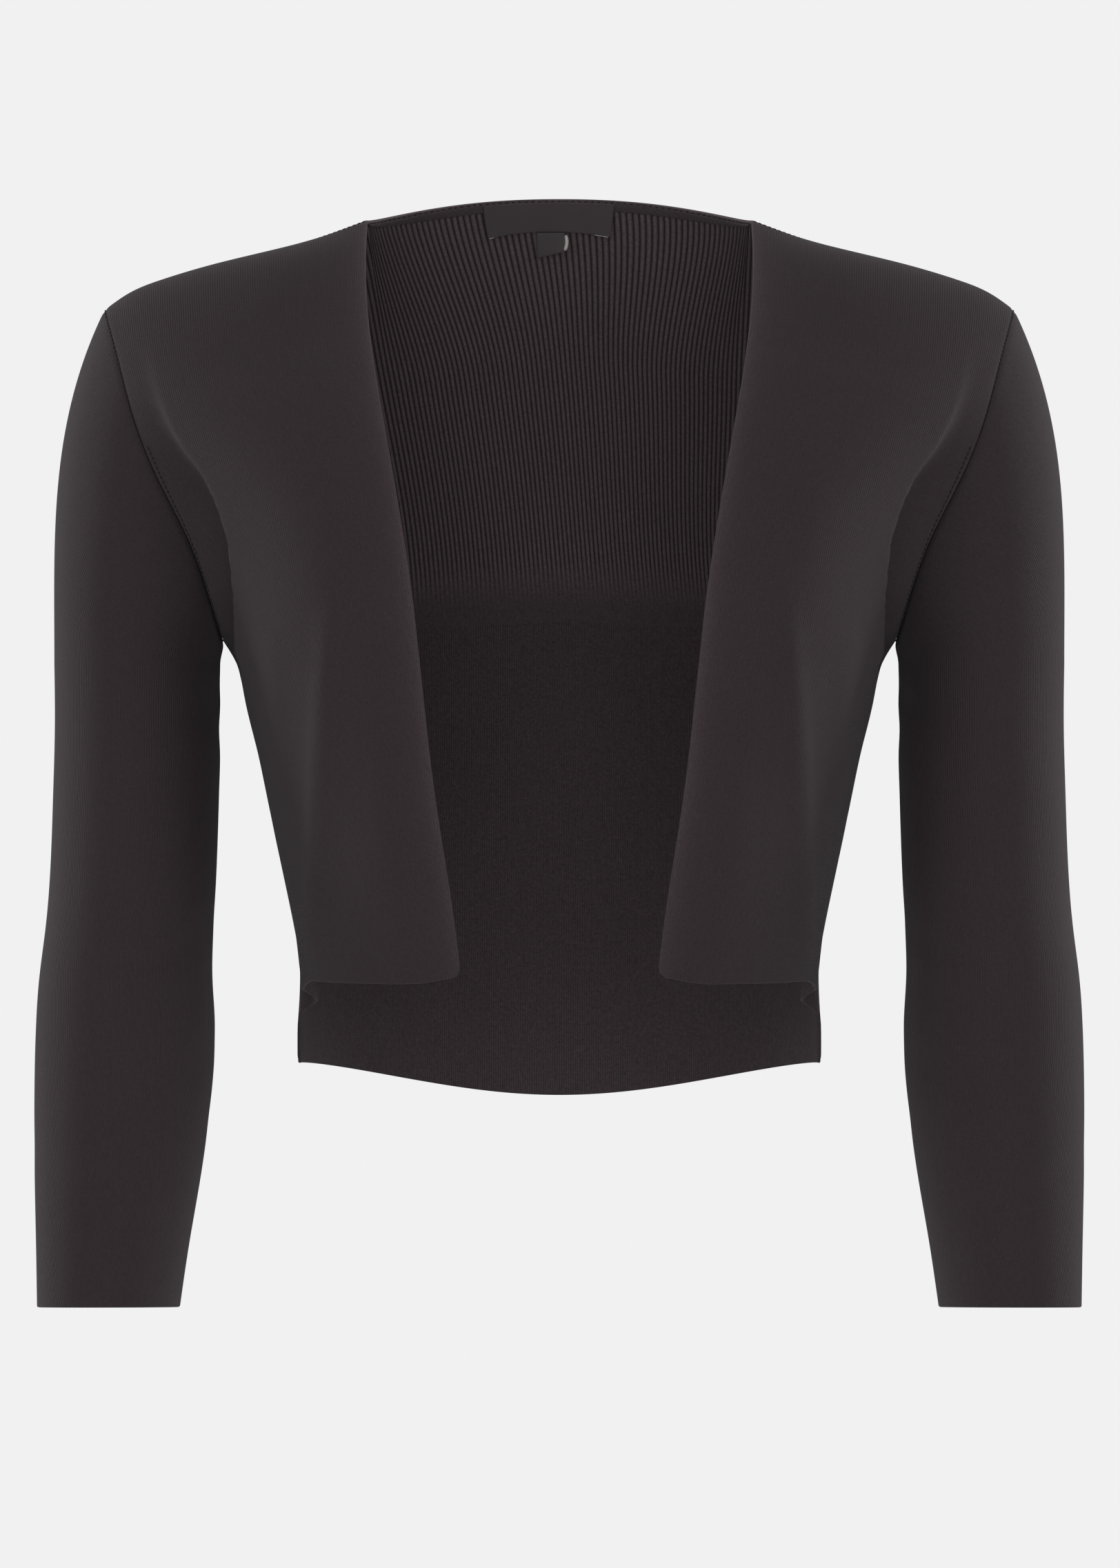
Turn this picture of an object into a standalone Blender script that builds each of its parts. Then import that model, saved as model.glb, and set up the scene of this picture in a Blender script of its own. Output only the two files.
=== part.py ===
"""Open-front cropped knitted jacket with set-in three-quarter sleeves, in its worn shape.

Frame: +Z up, the open front faces -Y, +X is the wearer's left. The origin lies midway between the
two neck points, where the shoulder seams meet the neck edge. All tables are in millimetres.
Each piece is a wall of knitted cloth: a grid of outer points worked out from the garment's
sections, with the inner points one wall thickness behind it. Pieces that are sewn together share
the points of their seam and stop just short of it. From the armpits up, the inside of the back
stands in fine upright ribs.
"""
import math

import bmesh
import bpy
import numpy as np

MM = 0.001
WALL = 1.6 * MM              # fine knitted cloth
SEAM_PULL = 0.19 * MM        # each piece stops this far from the seam line
MITRE_LIMIT = 0.62           # at a sharp seam the wall reaches back no further than 1 / 0.62 of it
CORNER_LIMIT = 0.5           # the same for the pull where two seams meet
LAID_GAP = 0.35 * MM         # air between a panel and what is sewn onto it
BAND_TOP = 0.3 * MM          # neck edge to the upper edge of the band
BAND_DEPTH = 4.2 * MM        # neck edge to its lower edge
BAND_WALL = 0.6 * MM
BAND_OFF = 0.5 * MM          # air behind the band, which lies over the ends of the ribs
BAND_END = 0.12              # share of the last neck column that the band leaves free
LABEL_WALL = 0.5 * MM
LABEL_TOP = 0.4 * MM         # neck edge to the upper edge of the label
LABEL_CENTRE = -3.9 * MM     # the label sits a little to the wearer's right
LABEL_TOP_WIDTH = 58.5 * MM
LABEL_FOOT_WIDTH = 53.0 * MM
LABEL_DEPTH = 15.0 * MM
LABEL_LIFT = 1.2 * MM        # its lower corners stand off the back
TAB_WIDTH = 13.2 * MM
TAB_DROP = 10.0 * MM
TAB_WALL = 0.45 * MM
TAB_ROOM = 1.3 * MM          # hollow between the two plies of the folded tab
CLOTH_SPAN = 4.0 * MM        # length over which the slope of the cloth under a label is read
NECK_RIBS = 36               # upright ribs inside each half of the back below the neck edge
SHOULDER_RIBS = 34           # and below each shoulder seam
RIB_RISE = 0.3 * MM
RIB_DRIFT = 0.1              # from neck to armpit they drift this share of a half back to one side
RIB_FADES = (0.3, 0.9, 1.0, 1.0, 1.0, 1.0, 1.0, 1.0, 1.0, 1.0, 1.0, 0.0)   # armpit to neck edge
SIDE_COLUMNS = 4             # plain columns beside the ribs

NECK_POINT = np.array((85.3, 4.0, 0.0)) * MM
SHOULDER_TIP = np.array((200.0, 0.0, -40.0)) * MM
ARMPIT = np.array((148.0, 4.0, -186.0)) * MM
ARMHOLE_FORWARD = 47.0 * MM  # how far the armhole bulges to the front and to the back
ARMHOLE_BACKWARD = 50.0 * MM
NECK_BACK = 48.0 * MM        # centre back neck behind the neck points
NECK_RISE = 12.7 * MM        # and above them
NECK_ROUNDNESS = 2.2

FRONT_HEM = -333.5 * MM
SIDE_HEM = -371.0 * MM
BACK_HEM = -388.0 * MM
HEM_STEP = 0.64              # share of the front hem, from its edge, that runs level
CORNER = 4.0 * MM            # rounded lower corner of each front

SIDE_ROWS = 12               # hem to armpit
ARMHOLE_ROWS = 12            # armpit to shoulder tip
SHOULDER_COLUMNS = 12
NECK_COLUMNS = 8             # half of the back neck
HEAD_ROWS = 7                # sleeve head, armhole to the level of the armpit
TUBE_ROWS = 14               # sleeve below it
LABEL_ROWS = 4
LABEL_COLUMNS = 9
TAB_TURNS = 6
CROWN = 1.62                 # where the panels start to turn over the shoulder
ROUND_OVER = 1.5             # how fully they round over it
EASED_PLACES = (0.0, 0.5, 0.9, 1.2, 1.62, 2.0)
PIN_REACH = 0.4              # share of a row over which it bends to meet a line exactly
NEAR_DROP, FAR_DROP = 0.30, 0.70   # where a row's two middle points stand between its ends' heights
CHEST = -188.0 * MM          # level of the front and back centre lines beside the armpit
FINE = 200                   # steps of a finely drawn line
SAME_POINT = 1e-6            # points closer than this are one point
SHARP = math.radians(50.0)   # edges that turn more than this stay crisp

KNIT = (0.034, 0.028, 0.030)     # charcoal wool with a warm violet cast
WOVEN = (0.022, 0.020, 0.020)


def table(columns, *rows):
    """Named columns in metres from rows in millimetres."""
    return dict(zip(columns.split(), np.array(rows, float).T * MM))


# Free front edge, from the hem to the neck point.
FRONT_EDGE = table(
    "height aside forward",
    (-333.5, 42.3, 105.0),
    (-300.0, 46.4, 109.0),
    (-258.0, 52.6, 115.0),
    (-212.0, 57.8, 119.5),
    (-188.0, 60.4, 120.0),
    (-141.0, 66.9, 112.5),
    (-93.0, 75.4, 91.0),
    (-43.0, 83.4, 47.0),
    (-14.0, 85.1, 16.0),
    (0.0, 85.3, -4.0),
)
# Side seam, from the hem to the armpit.
SIDE_SEAM = table(
    "height aside backward",
    (-371.0, 115.5, 8.0),
    (-350.0, 113.2, 8.0),
    (-335.0, 112.8, 8.0),
    (-313.0, 116.2, 8.0),
    (-290.0, 121.3, 7.5),
    (-268.0, 126.0, 7.0),
    (-237.0, 132.2, 6.0),
    (-212.0, 138.2, 5.0),
    (-196.0, 141.9, 4.5),
    (-186.0, 148.0, 4.0),
)
# Armhole seam seen from the front.
ARMHOLE_LINE = table(
    "height aside",
    (-186.0, 148.0),
    (-165.0, 153.9),
    (-144.6, 160.8),
    (-116.0, 174.8),
    (-87.5, 186.0),
    (-61.6, 193.2),
    (-40.0, 200.0),
)
# Shoulder seam, from the neck point to the tip.
SHOULDER_SEAM = table(
    "aside height",
    (85.3, 0.0),
    (112.6, -9.7),
    (149.0, -19.0),
    (176.0, -27.0),
    (190.0, -33.0),
    (200.0, -40.0),
)
# Centre back, from the hem to the neck edge.
CENTRE_BACK = table(
    "height backward",
    (-388.0, 73.0),
    (-335.0, 77.0),
    (-268.0, 85.0),
    (-190.0, 95.0),
    (-140.0, 98.0),
    (-95.0, 93.0),
    (-50.0, 80.0),
    (-15.0, 65.0),
    (12.7, 52.0),
)
# Handles of each front section: place 0 is the hem, 1 the armpit, 2 the shoulder seam.
FRONT_SECTIONS = (
    # place, near aside, near forward, far aside, far forward
    (0.00, 82.0, 107.0, 114.5, 62.0),
    (0.50, 92.0, 121.0, 130.0, 64.0),
    (1.00, 108.0, 129.0, 146.0, 76.0),
    (1.33, 114.0, 122.0, 148.0, 82.0),
    (1.62, 124.0, 84.0, 163.0, 72.0),
    (2.00, 124.0, 0.0, 162.0, 0.0),
)
# Soft upright folds of the front below the bust, where the cloth turns from front to side.
FRONT_FOLDS = (
    # aside at the top, aside at the foot, top height, foot height, lift, half width
    (105.0, 105.0, -185.0, -330.0, 2.2, 11.0),
    (128.0, 119.0, -205.0, -300.0, 1.2, 9.0),
)
# Handles of each back section, from the centre back outwards.
BACK_SECTIONS = (
    # place, near aside, near backward, far aside, far backward
    (0.00, 62.0, 74.0, 114.5, 52.0),
    (0.50, 72.0, 86.0, 128.0, 58.0),
    (1.00, 84.0, 98.0, 145.0, 60.0),
    (1.33, 86.0, 99.0, 152.0, 78.0),
    (1.62, 84.0, 89.0, 163.0, 76.0),
    (2.00, 70.0, 40.0, 150.0, 0.0),
)
# Level rings of the sleeve, from the armpit down to the cuff.
SLEEVE = table(
    "height inner outer forward half_depth",
    (-196.0, 149.2, 222.2, -1.0, 43.0),
    (-222.0, 148.9, 221.9, 0.0, 43.0),
    (-252.0, 149.6, 222.5, 2.0, 42.5),
    (-283.0, 150.5, 223.4, 5.0, 42.0),
    (-313.0, 151.8, 225.6, 8.0, 41.5),
    (-333.0, 152.2, 228.0, 10.0, 41.0),
    (-353.0, 151.0, 229.3, 12.0, 40.5),
    (-385.0, 152.4, 229.8, 15.5, 39.5),
    (-420.0, 156.8, 229.4, 19.5, 37.5),
    (-450.0, 161.8, 228.6, 22.5, 35.5),
    (-476.5, 165.6, 228.0, 25.0, 33.5),
)
HEAD_START = np.array((0.44, 0.0, -0.90))   # how the sleeve leaves the shoulder tip
HEAD_PULL = 0.36
CUFF_RAISE = 2.2 * MM        # the cuff's front stands a little higher than its sides
CUFF_BEND = -333.0 * MM      # level from which the rings tilt towards the cuff


def curve(knots, values, at):
    """Natural cubic curve through values at rising knots, read at the places asked for."""
    knots = np.asarray(knots, float)
    values = np.asarray(values, float)
    gap = np.diff(knots)
    size = len(knots)
    system = np.eye(size)
    right = np.zeros((size,) + values.shape[1:])
    rate = (np.diff(values, axis=0).T / gap).T
    for row in range(1, size - 1):
        system[row, row - 1:row + 2] = gap[row - 1], 2.0 * (gap[row - 1] + gap[row]), gap[row]
        right[row] = 6.0 * (rate[row] - rate[row - 1])
    bend = np.linalg.solve(system, right)
    at = np.clip(np.asarray(at, float), knots[0], knots[-1])
    part = np.clip(np.searchsorted(knots, at, side="right") - 1, 0, size - 2)
    width = gap[part]
    late = (at - knots[part]) / width
    early = 1.0 - late
    if values.ndim > 1:
        width, late, early = (item[:, None] for item in (width, late, early))
    swing = (early ** 3 - early) * bend[part] + (late ** 3 - late) * bend[part + 1]
    return early * values[part] + late * values[part + 1] + swing * width ** 2 / 6.0


def evenly(points, shares):
    """Points at given shares of the length of a finely drawn line."""
    steps = np.linalg.norm(np.diff(points, axis=0), axis=1)
    length = np.concatenate(([0.0], np.cumsum(steps)))
    return np.stack([np.interp(shares * length[-1], length, points[:, k]) for k in range(3)], axis=1)


def front_edge(height):
    """Free front edge at given heights."""
    aside = curve(FRONT_EDGE["height"], FRONT_EDGE["aside"], height)
    forward = curve(FRONT_EDGE["height"], FRONT_EDGE["forward"], height)
    return np.stack([aside, -forward, height], axis=1)


def centre_back(height):
    """Centre back line at given heights."""
    backward = curve(CENTRE_BACK["height"], CENTRE_BACK["backward"], height)
    return np.stack([np.zeros_like(height), backward, height], axis=1)


def side_seam(height):
    """Side seam at given heights."""
    aside = curve(SIDE_SEAM["height"], SIDE_SEAM["aside"], height)
    backward = curve(SIDE_SEAM["height"], SIDE_SEAM["backward"], height)
    return np.stack([aside, backward, height], axis=1)


def armhole(share, bulge):
    """Half of the armhole, armpit to shoulder tip: half an oval whose depth goes to the bulge's side."""
    rise = (1.0 - np.cos(math.pi * share)) / 2.0
    height = ARMPIT[2] + (SHOULDER_TIP[2] - ARMPIT[2]) * rise
    aside = curve(ARMHOLE_LINE["height"], ARMHOLE_LINE["aside"], height)
    backward = ARMPIT[1] + (SHOULDER_TIP[1] - ARMPIT[1]) * rise + bulge * np.sin(math.pi * share)
    return np.stack([aside, backward, height], axis=1)


def shoulder_seam(share):
    """Shoulder seam from the neck point to the tip."""
    aside = np.linspace(NECK_POINT[0], SHOULDER_TIP[0], FINE)
    height = curve(SHOULDER_SEAM["aside"], SHOULDER_SEAM["height"], aside)
    backward = np.interp(aside, (aside[0], aside[-1]), (NECK_POINT[1], SHOULDER_TIP[1]))
    return evenly(np.stack([aside, backward, height], axis=1), share)


def back_neck(share):
    """Back neck edge from the centre back to the neck point: a quarter oval in plan."""
    turn = np.linspace(0.0, math.pi / 2.0, FINE)
    aside = NECK_POINT[0] * np.sin(turn)
    backward = NECK_POINT[1] + NECK_BACK * np.cos(turn)
    height = NECK_RISE * (1.0 - (aside / NECK_POINT[0]) ** NECK_ROUNDNESS)
    return evenly(np.stack([aside, backward, height], axis=1), share)


def rows_between(inner, outer, sections, sign, place, share):
    """Panel rows: each is a four-point curve from the inner to the outer line, at even shares.

    The two middle points of each row come from the section table, read at the row's place.
    """
    knots = [row[0] for row in sections]
    handles = curve(knots, np.array(sections)[:, 1:] * MM, place)
    t = np.linspace(0.0, 1.0, FINE)[:, None]
    weights = (1.0 - t) ** 3, 3.0 * t * (1.0 - t) ** 2, 3.0 * t * t * (1.0 - t), t ** 3
    rows = []
    for start, end, middle in zip(inner, outer, handles):
        drop = end[2] - start[2]
        near = np.array((middle[0], sign * middle[1], start[2] + drop * NEAR_DROP))
        far = np.array((middle[2], sign * middle[3], start[2] + drop * FAR_DROP))
        line = weights[0] * start + weights[1] * near + weights[2] * far + weights[3] * end
        rows.append(evenly(line, share))
    return np.array(rows)


def pin(rows, line, side, reach):
    """Bring one side of a grid of rows exactly onto a line, fading over the reach."""
    share = np.linspace(0.0, 1.0, rows.shape[1])
    weight = np.clip(1.0 - (share if side == 0 else 1.0 - share) / reach, 0.0, 1.0) ** 2
    return rows + weight[None, :, None] * (line - rows[:, side])[:, None, :]


def turn_over_shoulder(lower, slope, top, upright, share):
    """Rows from the last level row to the top line.

    A column that ends on the shoulder seam arrives level, one that ends on the neck edge where the
    cloth stands upright arrives rising. Both leave with the slope of the rows below.
    """
    t = share[:, None, None]
    way = top - lower
    level = way * np.array((0.0, ROUND_OVER, 0.0))
    rising = way * np.array((0.0, 1.0, 1.0))
    top_slope = level + (rising - level) * upright[:, None]
    rows = (2 * t ** 3 - 3 * t ** 2 + 1) * lower + (t ** 3 - 2 * t ** 2 + t) * slope
    return rows + (3 * t ** 2 - 2 * t ** 3) * top + (t ** 3 - t ** 2) * top_slope


def panel(inner_line, outer_line, top, upright, sections, sign, place, share):
    """Whole panel: level rows up to the crown, then columns that turn over the shoulder.

    The rows are worked out to an eased outer line with no corner at the armpit, and then brought
    onto the real one near the seam only.
    """
    low = place <= CROWN
    step = 0.01
    knots = np.array(EASED_PLACES)
    eased = outer_line(knots)
    ends = np.array((CROWN - step, CROWN))
    spots = np.concatenate([place[low], ends])
    rows = rows_between(inner_line(spots), curve(knots, eased, spots), sections, sign, spots, share)
    last = rows[-2:]
    slope = (last[1] - last[0]) / step * (2.0 - CROWN)
    over = (place[~low] - CROWN) / (2.0 - CROWN)
    high = turn_over_shoulder(last[1], slope, top, upright, over)
    grid = np.concatenate([rows[:-2], high])
    grid = pin(grid, inner_line(place), 0, PIN_REACH)
    return pin(grid, outer_line(place), -1, PIN_REACH)


def places():
    """Row places: 0 at the hem, 1 at the armpit, 2 at the shoulder."""
    below = np.arange(SIDE_ROWS) / SIDE_ROWS
    return np.concatenate([below, 1.0 + np.arange(ARMHOLE_ROWS + 1) / ARMHOLE_ROWS])


def along(line, low, middle, high, place):
    """Points of a line at row places: even heights up to the middle, even lengths above it."""
    lower = line(low + (middle - low) * np.clip(place, 0.0, 1.0))
    upper = evenly(line(np.linspace(middle, high, FINE)), np.clip(place - 1.0, 0.0, 1.0))
    return np.where((place <= 1.0)[:, None], lower, upper)


def outer_edge(place, bulge):
    """Side seam up to the armpit, then the armhole."""
    seam = side_seam(SIDE_HEM + (ARMPIT[2] - SIDE_HEM) * np.clip(place, 0.0, 1.0))
    hole = armhole(np.clip(place - 1.0, 0.0, 1.0), bulge)
    return np.where((place <= 1.0)[:, None], seam, hole)


def hem_line(share, length):
    """Height of the front hem: a rounded corner, a level stretch, then a drop to the side seam."""
    drop = np.clip((share - HEM_STEP) / (1.0 - HEM_STEP), 0.0, 1.0)
    height = FRONT_HEM + (SIDE_HEM - FRONT_HEM) * np.sin(drop * math.pi / 2.0)
    inset = np.clip(CORNER - share * length, 0.0, CORNER)
    return height + CORNER - np.sqrt(CORNER ** 2 - inset ** 2)


def soft_folds(grid, folds):
    """Lift a panel along its normals into rounded ridges that fade in and out along their length."""
    across, height = grid[:, :, 0], grid[:, :, 2]
    lift = np.zeros_like(across)
    for aside_top, aside_foot, top, foot, rise, half_width in np.array(folds) * MM:
        down = np.clip((top - height) / (top - foot), 0.0, 1.0)
        middle = aside_top + (aside_foot - aside_top) * down
        lift += rise * np.sin(math.pi * down) ** 0.7 * np.exp(-((across - middle) / half_width) ** 2)
    lift[:, 0] = 0.0
    lift[:, -1] = 0.0
    return grid + lift[:, :, None] * normals(grid)


def lower_hem(grid, place, hem):
    """Move the lowest row to the hem's heights; the rows above follow less and less."""
    fade = np.clip(1.0 - place, 0.0, 1.0)[:, None] ** 2
    grid[:, :, 2] += fade * (hem - grid[0, :, 2])[None, :]
    return grid


def front_panel():
    """Outer points of the wearer's left front, rows from the hem up, columns from the free edge."""
    place = places()
    share = np.linspace(0.0, 1.0, SHOULDER_COLUMNS + 1)
    grid = panel(
        lambda p: along(front_edge, FRONT_HEM, CHEST, 0.0, p),
        lambda p: outer_edge(p, -ARMHOLE_FORWARD),
        shoulder_seam(share), np.zeros_like(share), FRONT_SECTIONS, -1.0, place, share)
    length = np.linalg.norm(np.diff(grid[0], axis=0), axis=1).sum()
    return soft_folds(lower_hem(grid, place, hem_line(share, length)), FRONT_FOLDS)


def back_panel():
    """Outer points of the wearer's left half of the back, columns from the centre back."""
    place = places()
    columns = NECK_COLUMNS + SHOULDER_COLUMNS
    share = np.linspace(0.0, 1.0, columns + 1)
    neck = back_neck(np.linspace(0.0, 1.0, NECK_COLUMNS + 1))
    top = np.concatenate([neck, shoulder_seam(np.linspace(0.0, 1.0, SHOULDER_COLUMNS + 1))[1:]])
    upright = 1.0 - np.clip(share * columns / NECK_COLUMNS, 0.0, 1.0) ** 3
    grid = panel(
        lambda p: along(centre_back, BACK_HEM, CHEST, NECK_RISE, p),
        lambda p: outer_edge(p, ARMHOLE_BACKWARD),
        top, upright, BACK_SECTIONS, 1.0, place, share)
    hem = BACK_HEM + (SIDE_HEM - BACK_HEM) * (1.0 - np.cos(math.pi * share)) / 2.0
    return lower_hem(grid, place, hem)


def sleeve_ring(height, turn):
    """Level oval of the sleeve; turn 0 faces the body, a quarter turn faces forward."""
    inner, outer, forward, half_depth = (
        curve(SLEEVE["height"][::-1], SLEEVE[name][::-1], np.array([height]))[0]
        for name in ("inner", "outer", "forward", "half_depth"))
    aside = (inner + outer) / 2.0 - (outer - inner) / 2.0 * np.cos(turn)
    backward = -forward - half_depth * np.sin(turn)
    return np.stack([aside, backward, np.full_like(turn, height)], axis=1)


def sleeve():
    """Outer points of the wearer's left sleeve: rings from the armhole down, closed on themselves."""
    half = np.arange(ARMHOLE_ROWS + 1) / ARMHOLE_ROWS
    loop = np.concatenate([armhole(half, -ARMHOLE_FORWARD), armhole(half, ARMHOLE_BACKWARD)[-2:0:-1]])
    turn = math.pi * np.concatenate([half, 2.0 - half[-2:0:-1]])
    first = sleeve_ring(SLEEVE["height"][0], turn)
    reach = np.linalg.norm(first - loop, axis=1)[:, None] * HEAD_PULL
    outward = (1.0 - np.cos(turn))[:, None] / 2.0
    start = HEAD_START * np.concatenate([outward, outward, np.ones_like(outward)], axis=1)
    start = start / np.linalg.norm(start, axis=1)[:, None]
    near = loop + start * reach
    far = first + np.array((0.0, 0.0, 1.0)) * reach
    rings = []
    for t in np.arange(HEAD_ROWS) / HEAD_ROWS:
        rings.append((1 - t) ** 3 * loop + 3 * t * (1 - t) ** 2 * near
                     + 3 * t * t * (1 - t) * far + t ** 3 * first)
    for height in np.linspace(SLEEVE["height"][0], SLEEVE["height"][-1], TUBE_ROWS + 1):
        rings.append(sleeve_ring(height, turn))
    rings = np.array(rings)
    down = np.clip((rings[:, :, 2] - CUFF_BEND) / (SLEEVE["height"][-1] - CUFF_BEND), 0.0, 1.0)
    rings[:, :, 2] += CUFF_RAISE * down ** 4 * np.clip(np.sin(turn), 0.0, 1.0)[None, :]
    return rings


def unit(vectors):
    """Vectors scaled to length one."""
    return vectors / np.maximum(np.linalg.norm(vectors, axis=-1, keepdims=True), 1e-12)


def differences(grid, axis, closed):
    """Central differences of a grid along one axis, one-sided at open ends."""
    if closed:
        return np.roll(grid, -1, axis=axis) - np.roll(grid, 1, axis=axis)
    return np.gradient(grid, axis=axis)


def normals(grid, closed=False):
    """Unit normals of a grid of points: rows cross columns."""
    return unit(np.cross(differences(grid, 1, closed), differences(grid, 0, False)))


def mirrored(points):
    """Points on the other side of the body."""
    return points * np.array((-1.0, 1.0, 1.0))


def split(square, turned):
    """Two triangles of a square, cut along one diagonal or, where turned, the other."""
    a, b, c, d = square
    return [(a, b, c), (a, c, d)] if turned else [(a, b, d), (b, c, d)]


def surface_faces(index, turned):
    """Triangles between the rows of an index grid."""
    faces = []
    for r in range(index.shape[0] - 1):
        for c in range(index.shape[1] - 1):
            square = [index[r, c], index[r, c + 1], index[r + 1, c + 1], index[r + 1, c]]
            faces += split(square, turned[c])
    return faces


def rim_faces(outer, inner, turned):
    """Triangles from an outer edge to the inner edge behind it."""
    faces = []
    for k, turn in zip(range(len(outer) - 1), turned):
        faces += split([outer[k], outer[k + 1], inner[k + 1], inner[k]], turn)
    return faces


def zip_faces(many, many_share, few, few_share):
    """Triangles between a row of many points and a row of few."""
    faces = []
    low = 0
    for k in range(len(many) - 1):
        middle = (many_share[k] + many_share[k + 1]) / 2.0
        while low < len(few) - 1 and middle > (few_share[low] + few_share[low + 1]) / 2.0:
            faces.append((few[low], few[low + 1], many[k]))
            low += 1
        faces.append((many[k], many[k + 1], few[low]))
    return faces + [(few[j], few[j + 1], many[-1]) for j in range(low, len(few) - 1)]


def wall_mesh(name, outer, inner, color, closed=False, twin_halves=True):
    """Closed wall between two grids of points of the same size.

    Squares are cut alike in the two halves of a piece that has twin halves. In a tube the inside is
    cut the other way, which keeps it clear of the outside where the wall is bent hard.
    """
    rows, columns = outer.shape[:2]
    index = np.arange(rows * columns).reshape(rows, columns)
    if closed:
        index = np.concatenate([index, index[:, :1]], axis=1)
    behind = index + rows * columns
    steps = index.shape[1] - 1
    halves = [twin_halves and c < steps // 2 for c in range(steps)]
    faces = surface_faces(index, halves)
    faces += surface_faces(behind, [closed != half for half in halves])
    faces += rim_faces(index[0], behind[0], halves) + rim_faces(index[-1], behind[-1], halves)
    if not closed:
        plain = [False] * rows
        faces += rim_faces(index[:, 0], behind[:, 0], plain) + rim_faces(index[:, -1], behind[:, -1], plain)
    make_piece(name, np.concatenate([outer.reshape(-1, 3), inner.reshape(-1, 3)]), faces, color)


def rib_shares():
    """Columns of the ribbed inside as signed shares of a half back, and which of them stand up."""
    step = NECK_COLUMNS / (NECK_COLUMNS + SHOULDER_COLUMNS) / (2 * NECK_RIBS)
    count = 2 * (NECK_RIBS + SHOULDER_RIBS)
    ribbed = np.arange(-count, count + 1) * step
    side = np.linspace(1.0, ribbed[-1], SIDE_COLUMNS, endpoint=False)
    raised = np.concatenate([np.zeros(SIDE_COLUMNS), np.arange(2 * count + 1) % 2, np.zeros(SIDE_COLUMNS)])
    return np.concatenate([-side, ribbed, side[::-1]]), raised


def ribbed_rows(outer, inner, shares):
    """Inner points above the armpit, read between the plain columns and raised into upright ribs."""
    columns, raised = rib_shares()
    rows = []
    for number, fade in zip(range(SIDE_ROWS + 1, len(inner)), RIB_FADES):
        place = 1.0 + (number - SIDE_ROWS) / ARMHOLE_ROWS
        at = columns + RIB_DRIFT * (2.0 - place) * (1.0 - columns ** 2)
        front, back = (np.stack([np.interp(at, shares, row[:, k]) for k in range(3)], axis=1)
                       for row in (inner[number], outer[number]))
        rows.append((at, front + unit(front - back) * (raised * fade * RIB_RISE)[:, None]))
    return [row[0] for row in rows], np.array([row[1] for row in rows])


def ribbed_wall(name, outer, inner, color):
    """Wall of the back: plain outside, and upright ribs inside from the armpit to the neck edge."""
    rows, columns = outer.shape[:2]
    shares = np.linspace(-1.0, 1.0, columns)
    rib_places, ribs = ribbed_rows(outer, inner, shares)
    index = np.arange(rows * columns).reshape(rows, columns)
    plain = index[:SIDE_ROWS + 1] + rows * columns
    ribbed = np.arange(ribs.shape[0] * ribs.shape[1]).reshape(ribs.shape[:2]) + plain[-1, -1] + 1
    halves = [c < columns // 2 for c in range(columns - 1)]
    upright = [c < ribs.shape[1] // 2 for c in range(ribs.shape[1] - 1)]
    faces = surface_faces(index, halves) + surface_faces(plain, halves) + surface_faces(ribbed, upright)
    faces += rim_faces(index[0], plain[0], halves)
    faces += zip_faces(ribbed[0], rib_places[0], plain[-1], shares)
    faces += zip_faces(ribbed[-1], rib_places[-1], index[-1], shares)
    for side in (0, -1):
        inside = np.concatenate([plain[:, side], ribbed[:, side]])
        faces += rim_faces(index[:, side], inside, [False] * rows)
    points = [outer.reshape(-1, 3), inner[:SIDE_ROWS + 1].reshape(-1, 3), ribs.reshape(-1, 3)]
    make_piece(name, np.concatenate(points), faces, color)


def make_piece(name, points, faces, color):
    """One object from points and triangles, with its faces turned outwards."""
    mesh = bpy.data.meshes.new(name)
    mesh.from_pydata(points.tolist(), [], [[int(k) for k in face] for face in faces])
    work = bmesh.new()
    work.from_mesh(mesh)
    bmesh.ops.recalc_face_normals(work, faces=work.faces)
    work.to_mesh(mesh)
    work.free()
    mesh.shade_smooth()
    mesh.set_sharp_from_angle(angle=SHARP)
    bpy.context.collection.objects.link(bpy.data.objects.new(name, mesh))
    mesh.materials.append(cloth(name, color))


def cloth(name, color):
    """Plain matt material for one piece."""
    material = bpy.data.materials.new(name)
    material.use_nodes = True
    shader = material.node_tree.nodes["Principled BSDF"]
    shader.inputs["Base Color"].default_value = (*color, 1.0)
    shader.inputs["Roughness"].default_value = 0.85
    shader.inputs["Metallic"].default_value = 0.0
    return material


def clear_scene():
    """Start from an empty scene."""
    for thing in list(bpy.data.objects):
        bpy.data.objects.remove(thing, do_unlink=True)


def common_normals(grids, grid_normals):
    """Where pieces share a point, they share its normal and how far the wall reaches behind it."""
    total = {}
    for points, directions in zip(grids, grid_normals):
        for point, direction in zip(points.reshape(-1, 3), directions.reshape(-1, 3)):
            total.setdefault(tuple(np.round(point / SAME_POINT).astype(int)), []).append(direction)
    inner = []
    for points, directions in zip(grids, grid_normals):
        behind = np.empty_like(points)
        for place in np.ndindex(points.shape[:2]):
            shared = np.mean(total[tuple(np.round(points[place] / SAME_POINT).astype(int))], axis=0)
            size = np.linalg.norm(shared)
            reach = WALL / max(size, MITRE_LIMIT)
            behind[place] = points[place] - shared / size * reach
        inner.append(behind)
    return inner


def seam_direction(line, behind, closed):
    """Across a seam, in the cloth: square to the seam line and to the wall's depth."""
    along_seam = differences(line, 0, closed)
    return unit(np.cross(along_seam, line - behind))


def pull_from_seams(shift, place, direction):
    """Add one seam's pull to the shifts already given at a piece's edge points."""
    for index, push in zip(place, direction):
        old = shift[index]
        size = np.linalg.norm(old)
        if size > 0.0:
            meet = 1.0 + np.dot(old / size, push)
            shift[index] = (old + push * SEAM_PULL) / max(meet, CORNER_LIMIT)
        else:
            shift[index] = push * SEAM_PULL


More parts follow.
